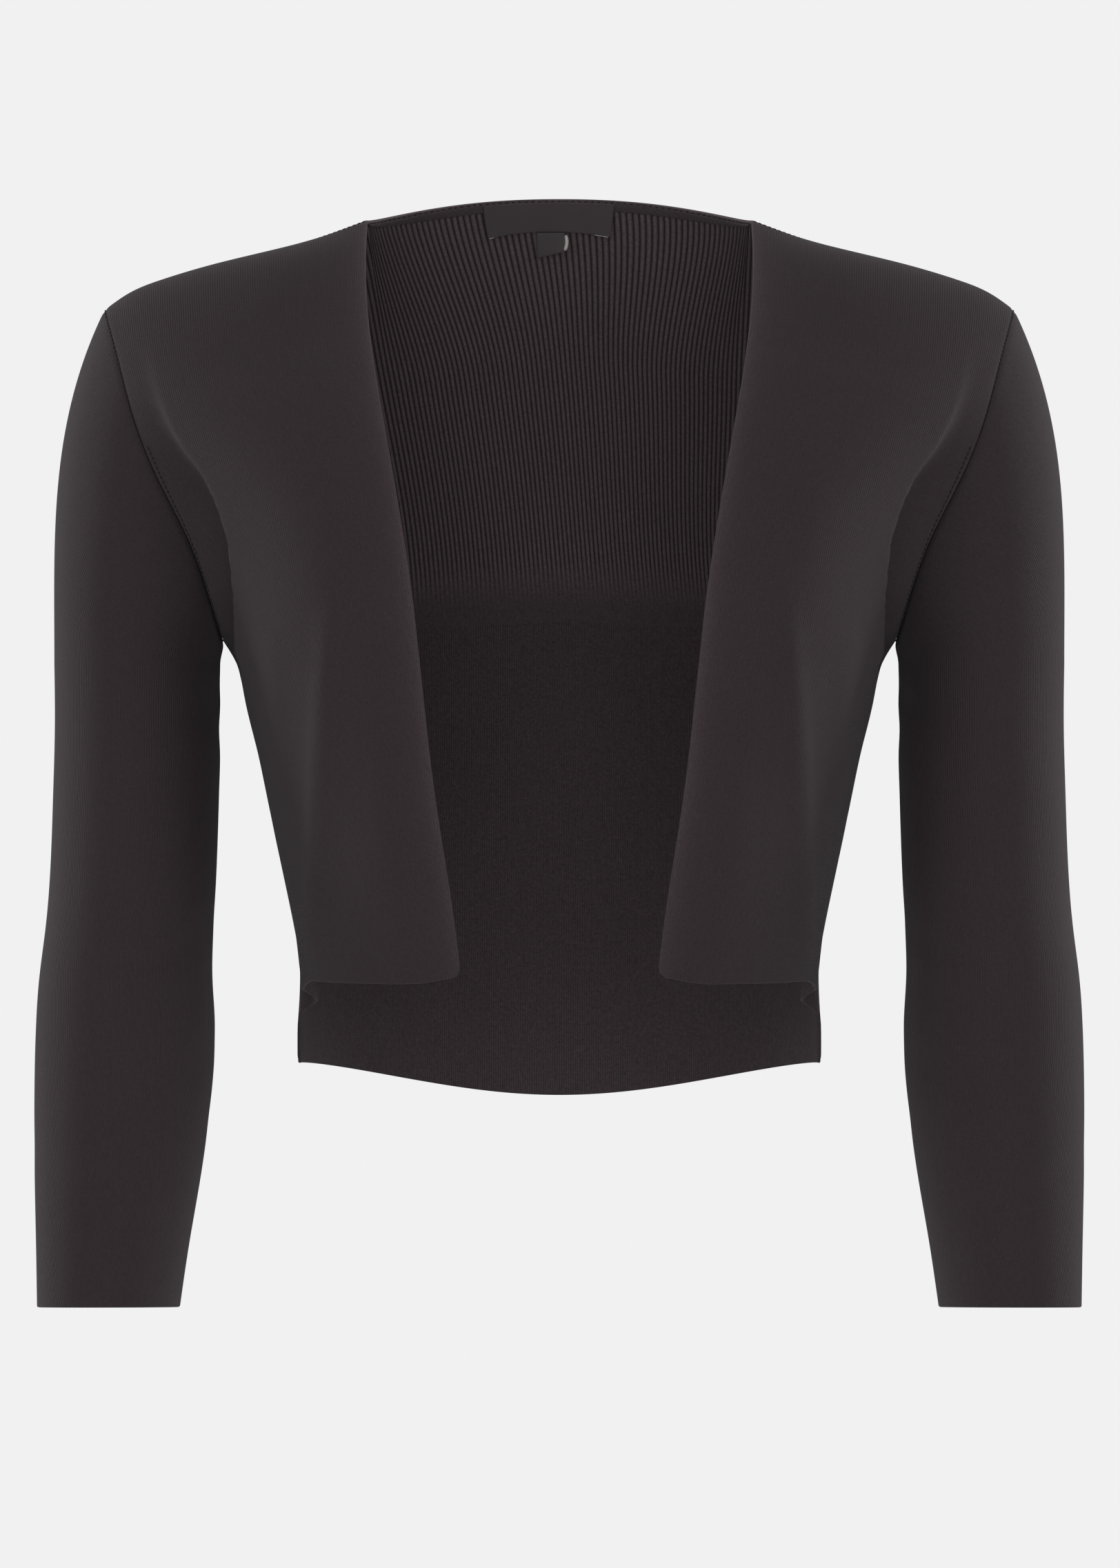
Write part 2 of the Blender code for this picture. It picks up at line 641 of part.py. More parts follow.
def sewn_pieces():
    """Outer and inner points of front, half back and sleeve, each stopped short of its seams."""
    front, back, arm = front_panel(), back_panel(), sleeve()
    whole_back = np.concatenate([mirrored(back[:, :0:-1]), back], axis=1)
    back_normals = -normals(whole_back)[:, back.shape[1] - 1:]
    grids = [front, back, arm]
    behind = common_normals(grids, [normals(front), back_normals, -normals(arm, closed=True)])
    shifts = [np.zeros_like(grid) for grid in grids]

    side = range(SIDE_ROWS + 1)
    hole = range(ARMHOLE_ROWS + 1)
    turns = arm.shape[1]
    across = seam_direction(arm[0], behind[2][0], True)
    into_sleeve = across * np.sign(np.sum(across * (arm[HEAD_ROWS] - arm[0])))
    pull_from_seams(shifts[2], [(0, k) for k in range(turns)], into_sleeve)
    pull_from_seams(shifts[0], [(SIDE_ROWS + k, -1) for k in hole], -into_sleeve[:ARMHOLE_ROWS + 1])
    back_order = [(-k) % turns for k in hole]
    pull_from_seams(shifts[1], [(SIDE_ROWS + k, -1) for k in hole], -into_sleeve[back_order])

    last = SIDE_ROWS + 1
    across = seam_direction(front[:last, -1], behind[0][:last, -1], False)
    into_front = across * np.sign(np.sum(across * (front[:last, -2] - front[:last, -1])))
    pull_from_seams(shifts[0], [(k, -1) for k in side], into_front)
    pull_from_seams(shifts[1], [(k, -1) for k in side], -into_front)

    across = seam_direction(front[-1], behind[0][-1], False)
    into_front = across * np.sign(np.sum(across * (front[-2] - front[-1])))
    pull_from_seams(shifts[0], [(-1, k) for k in range(SHOULDER_COLUMNS + 1)], into_front)
    pull_from_seams(shifts[1], [(-1, NECK_COLUMNS + k) for k in range(SHOULDER_COLUMNS + 1)], -into_front)
    return [(grid + shift, hidden + shift) for grid, hidden, shift in zip(grids, behind, shifts)]


def inside_back(inner, column, depth, offset):
    """A point inside the back: columns from the centre, depth below the neck edge, off the cloth."""
    side = -1.0 if column < 0.0 else 1.0
    column = abs(column)
    low = min(int(column), NECK_COLUMNS - 1)
    part = column - low
    lines = [inner[::-1, low], inner[::-1, low + 1]]
    found = []
    for line in lines:
        steps = np.linalg.norm(np.diff(line, axis=0), axis=1)
        length = np.concatenate(([0.0], np.cumsum(steps)))
        found.append([np.array([np.interp(d, length, line[:, k]) for k in range(3)])
                      for d in (depth, depth + CLOTH_SPAN)])
    here = found[0][0] * (1.0 - part) + found[1][0] * part
    below = found[0][1] * (1.0 - part) + found[1][1] * part
    inward = unit(np.cross(below - here, found[1][0] - found[0][0]))
    if inward[1] > 0.0:
        inward = -inward
    return (here + inward * offset) * np.array((side, 1.0, 1.0))


def neck_band(inner):
    """Turned band inside the back neck."""
    columns = np.arange(-NECK_COLUMNS, NECK_COLUMNS + 1).astype(float)
    columns[[0, -1]] *= 1.0 - BAND_END / NECK_COLUMNS
    depths = (BAND_DEPTH, BAND_TOP)
    faces = [np.array([[inside_back(inner, c, d, off) for c in columns] for d in depths])
             for off in (BAND_OFF, BAND_OFF + BAND_WALL)]
    return faces[1], faces[0]


def neck_column_width():
    """Width of one column at the back neck edge."""
    edge = back_neck(np.linspace(0.0, 1.0, NECK_COLUMNS + 1))
    return np.linalg.norm(np.diff(edge, axis=0), axis=1).mean()


def neck_label(inner):
    """Bare woven label over the band: a little narrower at its foot, whose corners lift."""
    column = neck_column_width()
    base = BAND_OFF + BAND_WALL + LAID_GAP
    faces = []
    for offset in (base + LABEL_WALL, base):
        rows = []
        for share in np.linspace(1.0, 0.0, LABEL_ROWS):
            half = (LABEL_TOP_WIDTH * (1.0 - share) + LABEL_FOOT_WIDTH * share) / 2.0
            across = np.linspace(-half, half, LABEL_COLUMNS)
            lift = LABEL_LIFT * share ** 2 * (across / half) ** 2
            depth = LABEL_TOP + share * LABEL_DEPTH
            rows.append([inside_back(inner, (LABEL_CENTRE + x) / column, depth, offset + up)
                         for x, up in zip(across, lift)])
        faces.append(np.array(rows))
    return faces


def size_tab(inner):
    """Small folded ribbon below the label: two plies with a hollow between them."""
    column = neck_column_width()
    base = RIB_RISE + LAID_GAP + TAB_WALL
    centre = LABEL_CENTRE / column
    foot = LABEL_TOP + LABEL_DEPTH + LAID_GAP
    half = TAB_WIDTH / 2.0
    radius = TAB_ROOM / 2.0
    turns = np.linspace(0.0, math.pi, TAB_TURNS + 1)
    faces = []
    for wall in (TAB_WALL, 0.0):
        drop = np.concatenate([[0.0], TAB_DROP + (radius + wall) * np.sin(turns), [0.0]])
        off = radius - (radius + wall) * np.cos(np.concatenate([[0.0], turns, [math.pi]]))
        rows = []
        for down, out in zip(drop, off):
            rows.append([inside_back(inner, centre + x / column, foot + down, base + out)
                         for x in (-half, half)])
        faces.append(np.array(rows))
    return faces


def main():
    """Build every piece."""
    clear_scene()
    (front, front_in), (half_back, half_back_in), (arm, arm_in) = sewn_pieces()
    back = np.concatenate([mirrored(half_back[:, :0:-1]), half_back], axis=1)
    back_in = np.concatenate([mirrored(half_back_in[:, :0:-1]), half_back_in], axis=1)
    ribbed_wall("back", back, back_in, KNIT)
    wall_mesh("front_left", front, front_in, KNIT, twin_halves=False)
    wall_mesh("front_right", mirrored(front), mirrored(front_in), KNIT, twin_halves=False)
    wall_mesh("sleeve_left", arm, arm_in, KNIT, closed=True)
    wall_mesh("sleeve_right", mirrored(arm), mirrored(arm_in), KNIT, closed=True)
    wall_mesh("neck_band", *neck_band(half_back_in), KNIT)
    wall_mesh("neck_label", *neck_label(half_back_in), WOVEN)
    wall_mesh("size_tab", *size_tab(half_back_in), WOVEN)


main()
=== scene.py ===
"""Open-front cropped knitted jacket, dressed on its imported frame.

Frame: +Z up, the open front faces -Y, +X is the wearer's left, the origin lies between the two
neck points. All sizes are in metres, and tables are in millimetres.
"""
import math

import bmesh
import bpy
import numpy as np
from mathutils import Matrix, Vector


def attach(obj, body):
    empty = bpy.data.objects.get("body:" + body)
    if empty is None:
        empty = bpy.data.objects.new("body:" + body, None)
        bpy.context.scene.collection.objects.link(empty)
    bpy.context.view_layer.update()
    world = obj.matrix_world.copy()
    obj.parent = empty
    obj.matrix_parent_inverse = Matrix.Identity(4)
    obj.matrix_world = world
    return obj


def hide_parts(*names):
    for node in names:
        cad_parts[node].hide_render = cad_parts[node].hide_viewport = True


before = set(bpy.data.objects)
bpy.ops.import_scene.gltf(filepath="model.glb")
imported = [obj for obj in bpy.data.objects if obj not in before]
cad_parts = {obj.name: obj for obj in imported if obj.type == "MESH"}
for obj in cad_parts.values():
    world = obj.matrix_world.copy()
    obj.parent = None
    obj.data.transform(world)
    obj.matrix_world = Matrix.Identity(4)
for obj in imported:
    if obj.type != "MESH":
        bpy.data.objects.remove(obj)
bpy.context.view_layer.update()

MM = 0.001

# Camera, light and floor.
# A level camera 3.2 m away with the jacket filling the frame. Large soft lamps, which it doesn't
# see, stand in front, above, below and in three pairs at the sides, and a plain pale floor lies at
# the level where the wearer would stand.
PICTURE = (1624, 2274)
PIXEL = 0.3035 * MM          # size of one picture point in the plane through the shoulders
CAMERA_PLACE = (0.0003, -3.2, -0.2486)
CLIP = (0.05, 50.0)          # the nearest and the farthest that it sees
SENSOR = 36.0
SEEN_GREY = (0.879, 0.879, 0.879, 1.0)      # the pale studio wall behind the jacket
CAST_WHITE = (0.97, 0.98, 1.0, 1.0)         # and the light that comes back from it
CAST_STRENGTH = 0.27
FLOOR_LEVEL = -1.38
FLOOR_RADIUS = 2.3
FLOOR_TURNS = 96
FLOOR_GREY = (0.80, 0.80, 0.80, 1.0)
FLOOR_ROUGHNESS = 0.7
LAMPS = (
    # name, place, height that it faces on the middle line, width, height, power
    ("front_lamp", (0.0, -2.6, 0.1), -0.2, 1.8, 1.6, 10.5),
    ("top_lamp", (0.0, -0.8, 2.2), -0.2, 2.0, 1.2, 10.5),
    ("low_lamp", (0.0, -2.2, -1.1), -0.36, 1.6, 0.8, 4.0),
)
SIDE_LAMPS = (
    # the same for the lamps that stand at both sides, with the place of the right one
    ("front_lamp", (2.1, -2.1, 0.3), -0.25, 1.0, 1.8, 6.4),
    ("side_lamp", (2.9, -0.5, 0.3), -0.25, 0.8, 1.8, 2.6),
    ("edge_lamp", (2.2, 1.1, 0.4), -0.25, 0.8, 1.8, 29.0),
)

scene = bpy.context.scene
scene.view_settings.view_transform = "Standard"

camera_data = bpy.data.cameras.new("camera")
camera_data.sensor_fit = "VERTICAL"
camera_data.sensor_height = SENSOR
camera_data.lens = SENSOR * -CAMERA_PLACE[1] / (PICTURE[1] * PIXEL)
camera_data.clip_start, camera_data.clip_end = CLIP
camera = bpy.data.objects.new("camera", camera_data)
camera.location = CAMERA_PLACE
camera.rotation_euler = (math.pi / 2.0, 0.0, 0.0)
scene.collection.objects.link(camera)
scene.camera = camera


def lamp(name, place, faced, width, height, power):
    """A rectangular soft lamp at a place, which faces the middle line at a height."""
    data = bpy.data.lights.new(name, "AREA")
    data.shape = "RECTANGLE"
    data.size, data.size_y = width, height
    data.energy = power
    thing = bpy.data.objects.new(name, data)
    thing.location = place
    way = Vector((0.0, 0.0, faced)) - Vector(place)
    thing.rotation_euler = way.to_track_quat("-Z", "Y").to_euler()
    thing.visible_camera = False
    scene.collection.objects.link(thing)


def feed(tree, node, inputs):
    """Feed a node's inputs, given by name or number, with constants or other nodes' sockets."""
    for key, value in dict(inputs).items():
        if isinstance(value, bpy.types.NodeSocket):
            tree.links.new(value, node.inputs[key])
        else:
            node.inputs[key].default_value = value
    return node


def add_node(tree, kind, inputs=(), **settings):
    """A new shader node with its settings made and its inputs fed."""
    node = tree.nodes.new("ShaderNode" + kind)
    for name, value in settings.items():
        setattr(node, name, value)
    return feed(tree, node, inputs)


def new_material(name):
    """A new material with its node tree and its surface shader."""
    material = bpy.data.materials.new(name)
    material.use_nodes = True
    return material, material.node_tree, material.node_tree.nodes["Principled BSDF"]


for values in LAMPS:
    lamp(*values)
for side, way in (("left", -1.0), ("right", 1.0)):
    for name, (aside, backward, up), *rest in SIDE_LAMPS:
        lamp(side + "_" + name, (way * aside, backward, up), *rest)

world = bpy.data.worlds.new("studio")
world.use_nodes = True
tree = world.node_tree
tree.nodes.clear()
seen = add_node(tree, "Background", {"Color": SEEN_GREY})
cast = add_node(tree, "Background", {"Color": CAST_WHITE, "Strength": CAST_STRENGTH})
ray = add_node(tree, "LightPath")
choice = add_node(tree, "MixShader", {"Fac": ray.outputs["Is Camera Ray"],
                                      1: cast.outputs["Background"], 2: seen.outputs["Background"]})
add_node(tree, "OutputWorld", {"Surface": choice.outputs["Shader"]})
scene.world = world

floor_mesh = bpy.data.meshes.new("floor")
turn = np.linspace(0.0, 2.0 * math.pi, FLOOR_TURNS + 1)[:-1]
disc = np.stack([FLOOR_RADIUS * np.cos(turn), FLOOR_RADIUS * np.sin(turn),
                 np.full_like(turn, FLOOR_LEVEL)], axis=1)
floor_mesh.from_pydata(disc.tolist(), [], [list(range(FLOOR_TURNS))])
floor_material, tree, shader = new_material("pale_floor")
feed(tree, shader, {"Base Color": FLOOR_GREY, "Roughness": FLOOR_ROUGHNESS})
floor_mesh.materials.append(floor_material)
floor = bpy.data.objects.new("floor", floor_mesh)
scene.collection.objects.link(floor)

# Back.
# One panel of fine charcoal wool knit, 1.6 mm thick, from the hem to the shoulders. It is smooth
# outside. Inside, fine upright ribs fill it from the neck to the armpits and fade out below. The
# neck edge and hem are turned.
WALL = 1.6 * MM
MITRE_LIMIT = 0.62           # at a sharp seam the wall reaches back no further than 1 / 0.62 of it
SEAM_GAP = 0.10 * MM         # each piece stops this far from the seam line
SEAM_DIP = 0.55 * MM         # the cloth sinks towards its seams
SEAM_REACH = 1.5 * MM
LEAN_REACH = 4.0 * MM        # from a seam inwards, the wall turns from the shared lean to its own
ROUND_EDGE = 0.8             # how far a free edge bulges, as a share of half the wall
EDGE_FADE = 1.2 * MM         # length over which that bulge starts and ends
EDGE_TURNS = 4               # steps round an edge

NECK_POINT = np.array((85.3, 4.0, 0.0)) * MM
SHOULDER_TIP = np.array((200.0, 0.0, -40.0)) * MM
ARMPIT = np.array((148.0, 4.0, -186.0)) * MM
ARMHOLE_FORWARD = 47.0 * MM
ARMHOLE_BACKWARD = 50.0 * MM
NECK_BACK = 48.0 * MM        # centre back neck behind the neck points
NECK_RISE = 12.7 * MM        # and above them
NECK_ROUNDNESS = 2.2
SIDE_HEM = -371.0 * MM
BACK_HEM = -388.0 * MM
CHEST = -188.0 * MM          # level of the front and back centre lines beside the armpit
CROWN = 1.62                 # where the panels start to turn over the shoulder
ROUND_OVER = 1.5             # how fully they round over it
EASED_PLACES = (0.0, 0.5, 0.9, 1.2, 1.62, 2.0)
PIN_REACH = 0.4              # share of a row over which it bends to meet a line exactly
NEAR_DROP, FAR_DROP = 0.30, 0.70   # where a row's two middle points stand between its ends' heights
SLOPE_STEP = 0.01            # the crown's slope is read over this much of a place
FINE = 400                   # steps of a finely drawn line
SHARE_DIGITS = 7             # shares that agree to this many digits are one
MERGED = 1e-7                # points of a mesh that are closer than this are one
NO_LENGTH = 1e-12            # what a vector's length counts as at least, where it is divided by
NECK_SHARE = 0.4             # share of the top of a half back that is neck edge

HEM_ROWS = 60                # hem to armpit
HOLE_ROWS = 64               # armpit to shoulder
NECK_COLUMNS = 48
SHOULDER_COLUMNS = 72
EDGE_STEPS = np.array((0.25, 0.6, 1.1, 1.8, 2.8)) * MM   # rows and columns beside an edge
ROW_SPAN = 0.19              # usual length of a row, and of a column above the armpit
SEAM_SPAN = 0.6 * ROW_SPAN   # usual length of the shoulder seam
UPRIGHT_BEND = 3             # how suddenly the cloth stands up towards the neck

NECK_RIBS = 36               # upright ribs inside each half of the back below the neck edge
SHOULDER_RIBS = 34           # and below each shoulder seam
RIB_RISE = 0.42 * MM
RIB_DRIFT = 0.1              # from neck to armpit they drift this share of a half back to one side
RIB_STEPS = 4                # columns to a rib
RIB_PITCH = 2.06 * MM        # spacing of the ribs in the material, one to each raised rib
RIB_SIDE_COLUMNS = 12        # plain columns beside the ribs
RIB_START = 1.06             # place of the row from which the ribs' own material starts
RIB_FOOT = (5.0 * MM, 30.0 * MM)            # heights above it over which its colour comes in
RIB_FADE = (
    # place, share of the rise
    (1.08, 0.0),
    (1.12, 0.3),
    (1.18, 0.9),
    (1.24, 1.0),
    (1.97, 1.0),
    (2.0, 0.0),
)
# Soft folds of the back, uneven, where it hangs below the shoulder blades.
BACK_FOLDS = (
    # aside at the top, aside at the foot, top height, foot height, lift, half width
    (-96.0, -84.0, -172.0, -352.0, 1.7, 8.0),
    (-58.0, -66.0, -238.0, -366.0, -1.1, 10.0),
    (-24.0, -14.0, -262.0, -378.0, 0.8, 9.0),
    (31.0, 38.0, -206.0, -372.0, 1.1, 10.0),
    (72.0, 64.0, -252.0, -360.0, -1.2, 8.0),
    (101.0, 88.0, -160.0, -322.0, 1.5, 8.5),
    (-120.0, -108.0, -84.0, -168.0, 1.1, 10.0),
    (124.0, 106.0, -78.0, -182.0, 1.3, 9.0),
)
FOLD_FULLNESS = 0.7          # below one, a fold keeps its height towards its ends

WALE, COURSE = 1.05 * MM, 0.9 * MM          # width and height of one stitch
LOOP_SLANT = 0.45            # how far a stitch slants towards the edges of its wale, in courses
LOOP_RISE = 0.1              # share of its height that changes along it
CLOUD_SCALE, FLECK_SCALE = 28.0, 900.0      # of the noise for wide clouds and for single flecks
CLOUD_DETAIL, FLECK_DETAIL = 2.0, 1.0
FUZZ = 0.35                  # height of the flecks beside that of the stitches
SHARP = 4.0                  # how narrow the painted shade in the grooves between the wales is
KNIT_SURFACE = {"Roughness": 0.88, "Specular IOR Level": 0.25, "Sheen Weight": 0.08,
                "Sheen Roughness": 0.45, "Sheen Tint": (0.9, 0.86, 0.88, 1.0)}
FACE_COLOR = (0.0403, 0.0298, 0.0326)       # charcoal wool with a warm violet cast
# The inside colours are lighter than the outside's: painted light that lifts the shaded inside, most
# on the ribs, whose colour fades down to the foot colour.
REVERSE_PAINTED_LIGHT_COLOR = (0.0608, 0.0459, 0.0499)
RIB_PAINTED_LIGHT_COLOR = (0.1100, 0.0836, 0.0904)
RIB_FOOT_PAINTED_LIGHT_COLOR = (0.0520, 0.0393, 0.0426)
EDGE_HIGHLIGHT_COLOR = (0.1300, 0.1000, 0.1070)       # turned edges, made lighter by a painted highlight
FRONT_EDGE_HIGHLIGHT = 0.85            # painted highlight: how much lighter a front is beside its free edge
FRONT_HIGHLIGHT_REACH = 4.0 * MM
MIX_FACTOR, MIX_FIRST, MIX_SECOND, MIX_RESULT = 0, 6, 7, 2  # sockets of a Mix node for colours
FACE, REVERSE, RIBS, EDGE_HIGHLIGHT = range(4)        # materials: outside, inside, its ribs, turned edge with a painted highlight


def table(columns, *rows):
    """Named columns in metres from rows in millimetres."""
    return dict(zip(columns.split(), np.array(rows, float).T * MM))


SIDE_SEAM = table(
    "height aside backward",
    (-371.0, 115.5, 8.0),
    (-350.0, 113.2, 8.0),
    (-335.0, 112.8, 8.0),
    (-313.0, 116.2, 8.0),
    (-290.0, 121.3, 7.5),
    (-268.0, 126.0, 7.0),
    (-237.0, 132.2, 6.0),
    (-212.0, 138.2, 5.0),
    (-196.0, 141.9, 4.5),
    (-186.0, 148.0, 4.0),
)
ARMHOLE_LINE = table(
    "height aside",
    (-186.0, 148.0),
    (-165.0, 153.9),
    (-144.6, 160.8),
    (-116.0, 174.8),
    (-87.5, 186.0),
    (-61.6, 193.2),
    (-40.0, 200.0),
)
SHOULDER_SEAM = table(
    "aside height",
    (85.3, 0.0),
    (112.6, -9.7),
    (149.0, -19.0),
    (176.0, -27.0),
    (190.0, -33.0),
    (200.0, -40.0),
)
CENTRE_BACK = table(
    "height aside backward",
    (-388.0, 0.0, 73.0),
    (-335.0, 0.0, 77.0),
    (-268.0, 0.0, 85.0),
    (-190.0, 0.0, 95.0),
    (-140.0, 0.0, 98.0),
    (-95.0, 0.0, 93.0),
    (-50.0, 0.0, 80.0),
    (-15.0, 0.0, 65.0),
    (12.7, 0.0, 52.0),
)
# Handles of each section from the centre back out. Place 0 is the hem, 1 armpit, 2 shoulder.
BACK_SECTIONS = (
    # place, near aside, near backward, far aside, far backward
    (0.00, 62.0, 74.0, 114.5, 52.0),
    (0.50, 72.0, 86.0, 128.0, 58.0),
    (1.00, 84.0, 98.0, 142.0, 60.0),
    (1.33, 86.0, 99.0, 152.0, 78.0),
    (1.62, 84.0, 89.0, 163.0, 76.0),
    (2.00, 70.0, 40.0, 150.0, 0.0),
)


def curve(knots, values, at):
    """Natural cubic curve through values at rising knots, read at the places asked for."""
    knots = np.asarray(knots, float)
    values = np.asarray(values, float)
    gap = np.diff(knots)
    size = len(knots)
    system = np.eye(size)
    right = np.zeros((size,) + values.shape[1:])
    rate = (np.diff(values, axis=0).T / gap).T
    for row in range(1, size - 1):
        system[row, row - 1:row + 2] = gap[row - 1], 2.0 * (gap[row - 1] + gap[row]), gap[row]
        right[row] = 6.0 * (rate[row] - rate[row - 1])
    bend = np.linalg.solve(system, right)
    at = np.clip(np.asarray(at, float), knots[0], knots[-1])
    part = np.clip(np.searchsorted(knots, at, side="right") - 1, 0, size - 2)
    width = gap[part]
    late = (at - knots[part]) / width
    early = 1.0 - late
    if values.ndim > 1:
        width, late, early = (item[:, None] for item in (width, late, early))
    swing = (early ** 3 - early) * bend[part] + (late ** 3 - late) * bend[part + 1]
    return early * values[part] + late * values[part + 1] + swing * width ** 2 / 6.0


def read_line(points, at, knots):
    """Points of a line, read by straight steps at given knot values."""
    return np.stack([np.interp(at, knots, points[:, k]) for k in range(3)], axis=1)


def run_along(points):
    """Running length along a line of points."""
    return np.concatenate(([0.0], np.cumsum(np.linalg.norm(np.diff(points, axis=0), axis=1))))


def evenly(points, shares):
    """Points at given shares of the length of a finely drawn line."""
    run = run_along(points)
    return read_line(points, shares * run[-1], run)


def four_point(t, start, near, far, end):
    """Curve that leaves its start towards the near point and meets its end from the far one.

    It is: (1 - t)^3 start + 3t(1 - t)^2 near + 3t^2(1 - t) far + t^3 end.
    """
    return ((1.0 - t) ** 3 * start + 3.0 * t * (1.0 - t) ** 2 * near + 3.0 * t * t * (1.0 - t) * far
            + t ** 3 * end)


def drawn(line, height):
    """Points at given heights of a line whose table says how far aside and backward it lies."""
    aside, backward = (curve(line["height"], line[name], height) for name in ("aside", "backward"))
    return np.stack([aside, backward, height], axis=1)


def armhole(share, bulge):
    """Half of the armhole, armpit to shoulder tip: half an oval as deep as the bulge."""
    rise = (1.0 - np.cos(math.pi * share)) / 2.0
    height = ARMPIT[2] + (SHOULDER_TIP[2] - ARMPIT[2]) * rise
    aside = curve(ARMHOLE_LINE["height"], ARMHOLE_LINE["aside"], height)
    backward = ARMPIT[1] + (SHOULDER_TIP[1] - ARMPIT[1]) * rise + bulge * np.sin(math.pi * share)
    return np.stack([aside, backward, height], axis=1)


def shoulder_seam(share):
    """Shoulder seam from the neck point to the tip."""
    aside = np.linspace(NECK_POINT[0], SHOULDER_TIP[0], FINE)
    height = curve(SHOULDER_SEAM["aside"], SHOULDER_SEAM["height"], aside)
    backward = np.interp(aside, (aside[0], aside[-1]), (NECK_POINT[1], SHOULDER_TIP[1]))
    return evenly(np.stack([aside, backward, height], axis=1), share)


def back_neck(share):
    """Back neck edge from the centre back to the neck point: a quarter oval in plan."""
    quarter = np.linspace(0.0, math.pi / 2.0, FINE)
    aside = NECK_POINT[0] * np.sin(quarter)
    backward = NECK_POINT[1] + NECK_BACK * np.cos(quarter)
    height = NECK_RISE * (1.0 - (aside / NECK_POINT[0]) ** NECK_ROUNDNESS)
    return evenly(np.stack([aside, backward, height], axis=1), share)


def rows_between(inner, outer, sections, sign, place, share):
    """Panel rows: each is a four-point curve from the inner to the outer line, at given shares.

    The two middle points of each row come from the section table, read at the row's place.
    """
    handles = curve([row[0] for row in sections], np.array(sections)[:, 1:] * MM, place)
    t = np.linspace(0.0, 1.0, FINE)[:, None]
    rows = []
    for start, end, middle in zip(inner, outer, handles):
        drop = end[2] - start[2]
        near = np.array((middle[0], sign * middle[1], start[2] + drop * NEAR_DROP))
        far = np.array((middle[2], sign * middle[3], start[2] + drop * FAR_DROP))
        rows.append(evenly(four_point(t, start, near, far, end), share))
    return np.array(rows)


def pin(rows, share, line, side, reach):
    """Bring one side of a grid of rows exactly onto a line, fading over the reach."""
    weight = np.clip(1.0 - (share if side == 0 else 1.0 - share) / reach, 0.0, 1.0) ** 2
    return rows + weight[None, :, None] * (line - rows[:, side])[:, None, :]


def turn_over_shoulder(lower, slope, top, upright, share):
    """Rows from the last level row to the top line.

    A column that ends on the shoulder seam arrives level, one that ends on the neck edge where the
    cloth stands upright arrives rising. Both leave with the slope of the rows below.
    """
    t = share[:, None, None]
    way = top - lower
    level = way * np.array((0.0, ROUND_OVER, 0.0))
    rising = way * np.array((0.0, 1.0, 1.0))
    top_slope = level + (rising - level) * upright[:, None]
    rows = (2 * t ** 3 - 3 * t ** 2 + 1) * lower + (t ** 3 - 2 * t ** 2 + t) * slope
    return rows + (3 * t ** 2 - 2 * t ** 3) * top + (t ** 3 - t ** 2) * top_slope


def panel(inner_line, outer_line, top, upright, sections, sign, place, share):
    """Whole panel: level rows up to the crown, then columns that turn over the shoulder.

    The rows are worked out to an eased outer line with no corner at the armpit, and then brought
    onto the real one near the seam only.
    """
    low = place <= CROWN
    knots = np.array(EASED_PLACES)
    spots = np.concatenate([place[low], (CROWN - SLOPE_STEP, CROWN)])
    eased = curve(knots, outer_line(knots), spots)
    rows = rows_between(inner_line(spots), eased, sections, sign, spots, share)
    slope = (rows[-1] - rows[-2]) / SLOPE_STEP * (2.0 - CROWN)
    over = (place[~low] - CROWN) / (2.0 - CROWN)
    high = turn_over_shoulder(rows[-1], slope, top, upright, over)
    grid = np.concatenate([rows[:-2], high])
    grid = pin(grid, share, inner_line(place), 0, PIN_REACH)
    return pin(grid, share, outer_line(place), -1, PIN_REACH)


def along(line, low, middle, high, place):
    """Points of a drawn line at row places: even heights up to its middle, then even lengths."""
    lower = drawn(line, low + (middle - low) * np.clip(place, 0.0, 1.0))
    upper = evenly(drawn(line, np.linspace(middle, high, FINE)), np.clip(place - 1.0, 0.0, 1.0))
    return np.where((place <= 1.0)[:, None], lower, upper)


def outer_edge(place, bulge):
    """Side seam up to the armpit, then the armhole."""
    seam = drawn(SIDE_SEAM, SIDE_HEM + (ARMPIT[2] - SIDE_HEM) * np.clip(place, 0.0, 1.0))
    hole = armhole(np.clip(place - 1.0, 0.0, 1.0), bulge)
    return np.where((place <= 1.0)[:, None], seam, hole)


def lower_hem(grid, place, hem):
    """Move the lowest row to the hem's heights; the rows above follow less and less."""
    fade = np.clip(1.0 - place, 0.0, 1.0)[:, None] ** 2
    grid[:, :, 2] += fade * (hem - grid[0, :, 2])[None, :]
    return grid


def soft_folds(grid, folds):
    """Lift of a panel into rounded ridges, or troughs, that fade in and out along their length.

    Each adds: rise * sine(way down)^fullness * bell(distance from its middle line / half width).
    """
    across, height = grid[:, :, 0], grid[:, :, 2]
    lift = np.zeros_like(across)
    for aside_top, aside_foot, top, foot, rise, half_width in np.array(folds) * MM:
        down = np.clip((top - height) / (top - foot), 0.0, 1.0)
        middle = aside_top + (aside_foot - aside_top) * down
        along_it = np.sin(math.pi * down) ** FOLD_FULLNESS
        lift += rise * along_it * np.exp(-((across - middle) / half_width) ** 2)
    lift[:, 0] = 0.0
    lift[:, -1] = 0.0
    return lift[:, :, None]


def with_edge_steps(even, ends, span):
    """Even steps with a few closer ones beside each edge, so that the cloth rounds over there."""
    close = EDGE_STEPS / span
    extra = np.concatenate([end + close if side == 0 else end - close
                            for side, end in enumerate(ends) if end is not None])
    return np.unique(np.round(np.concatenate([even, extra]), SHARE_DIGITS))


def unit(vectors):
    """Vectors scaled to length one."""
    return vectors / np.maximum(np.linalg.norm(vectors, axis=-1, keepdims=True), NO_LENGTH)


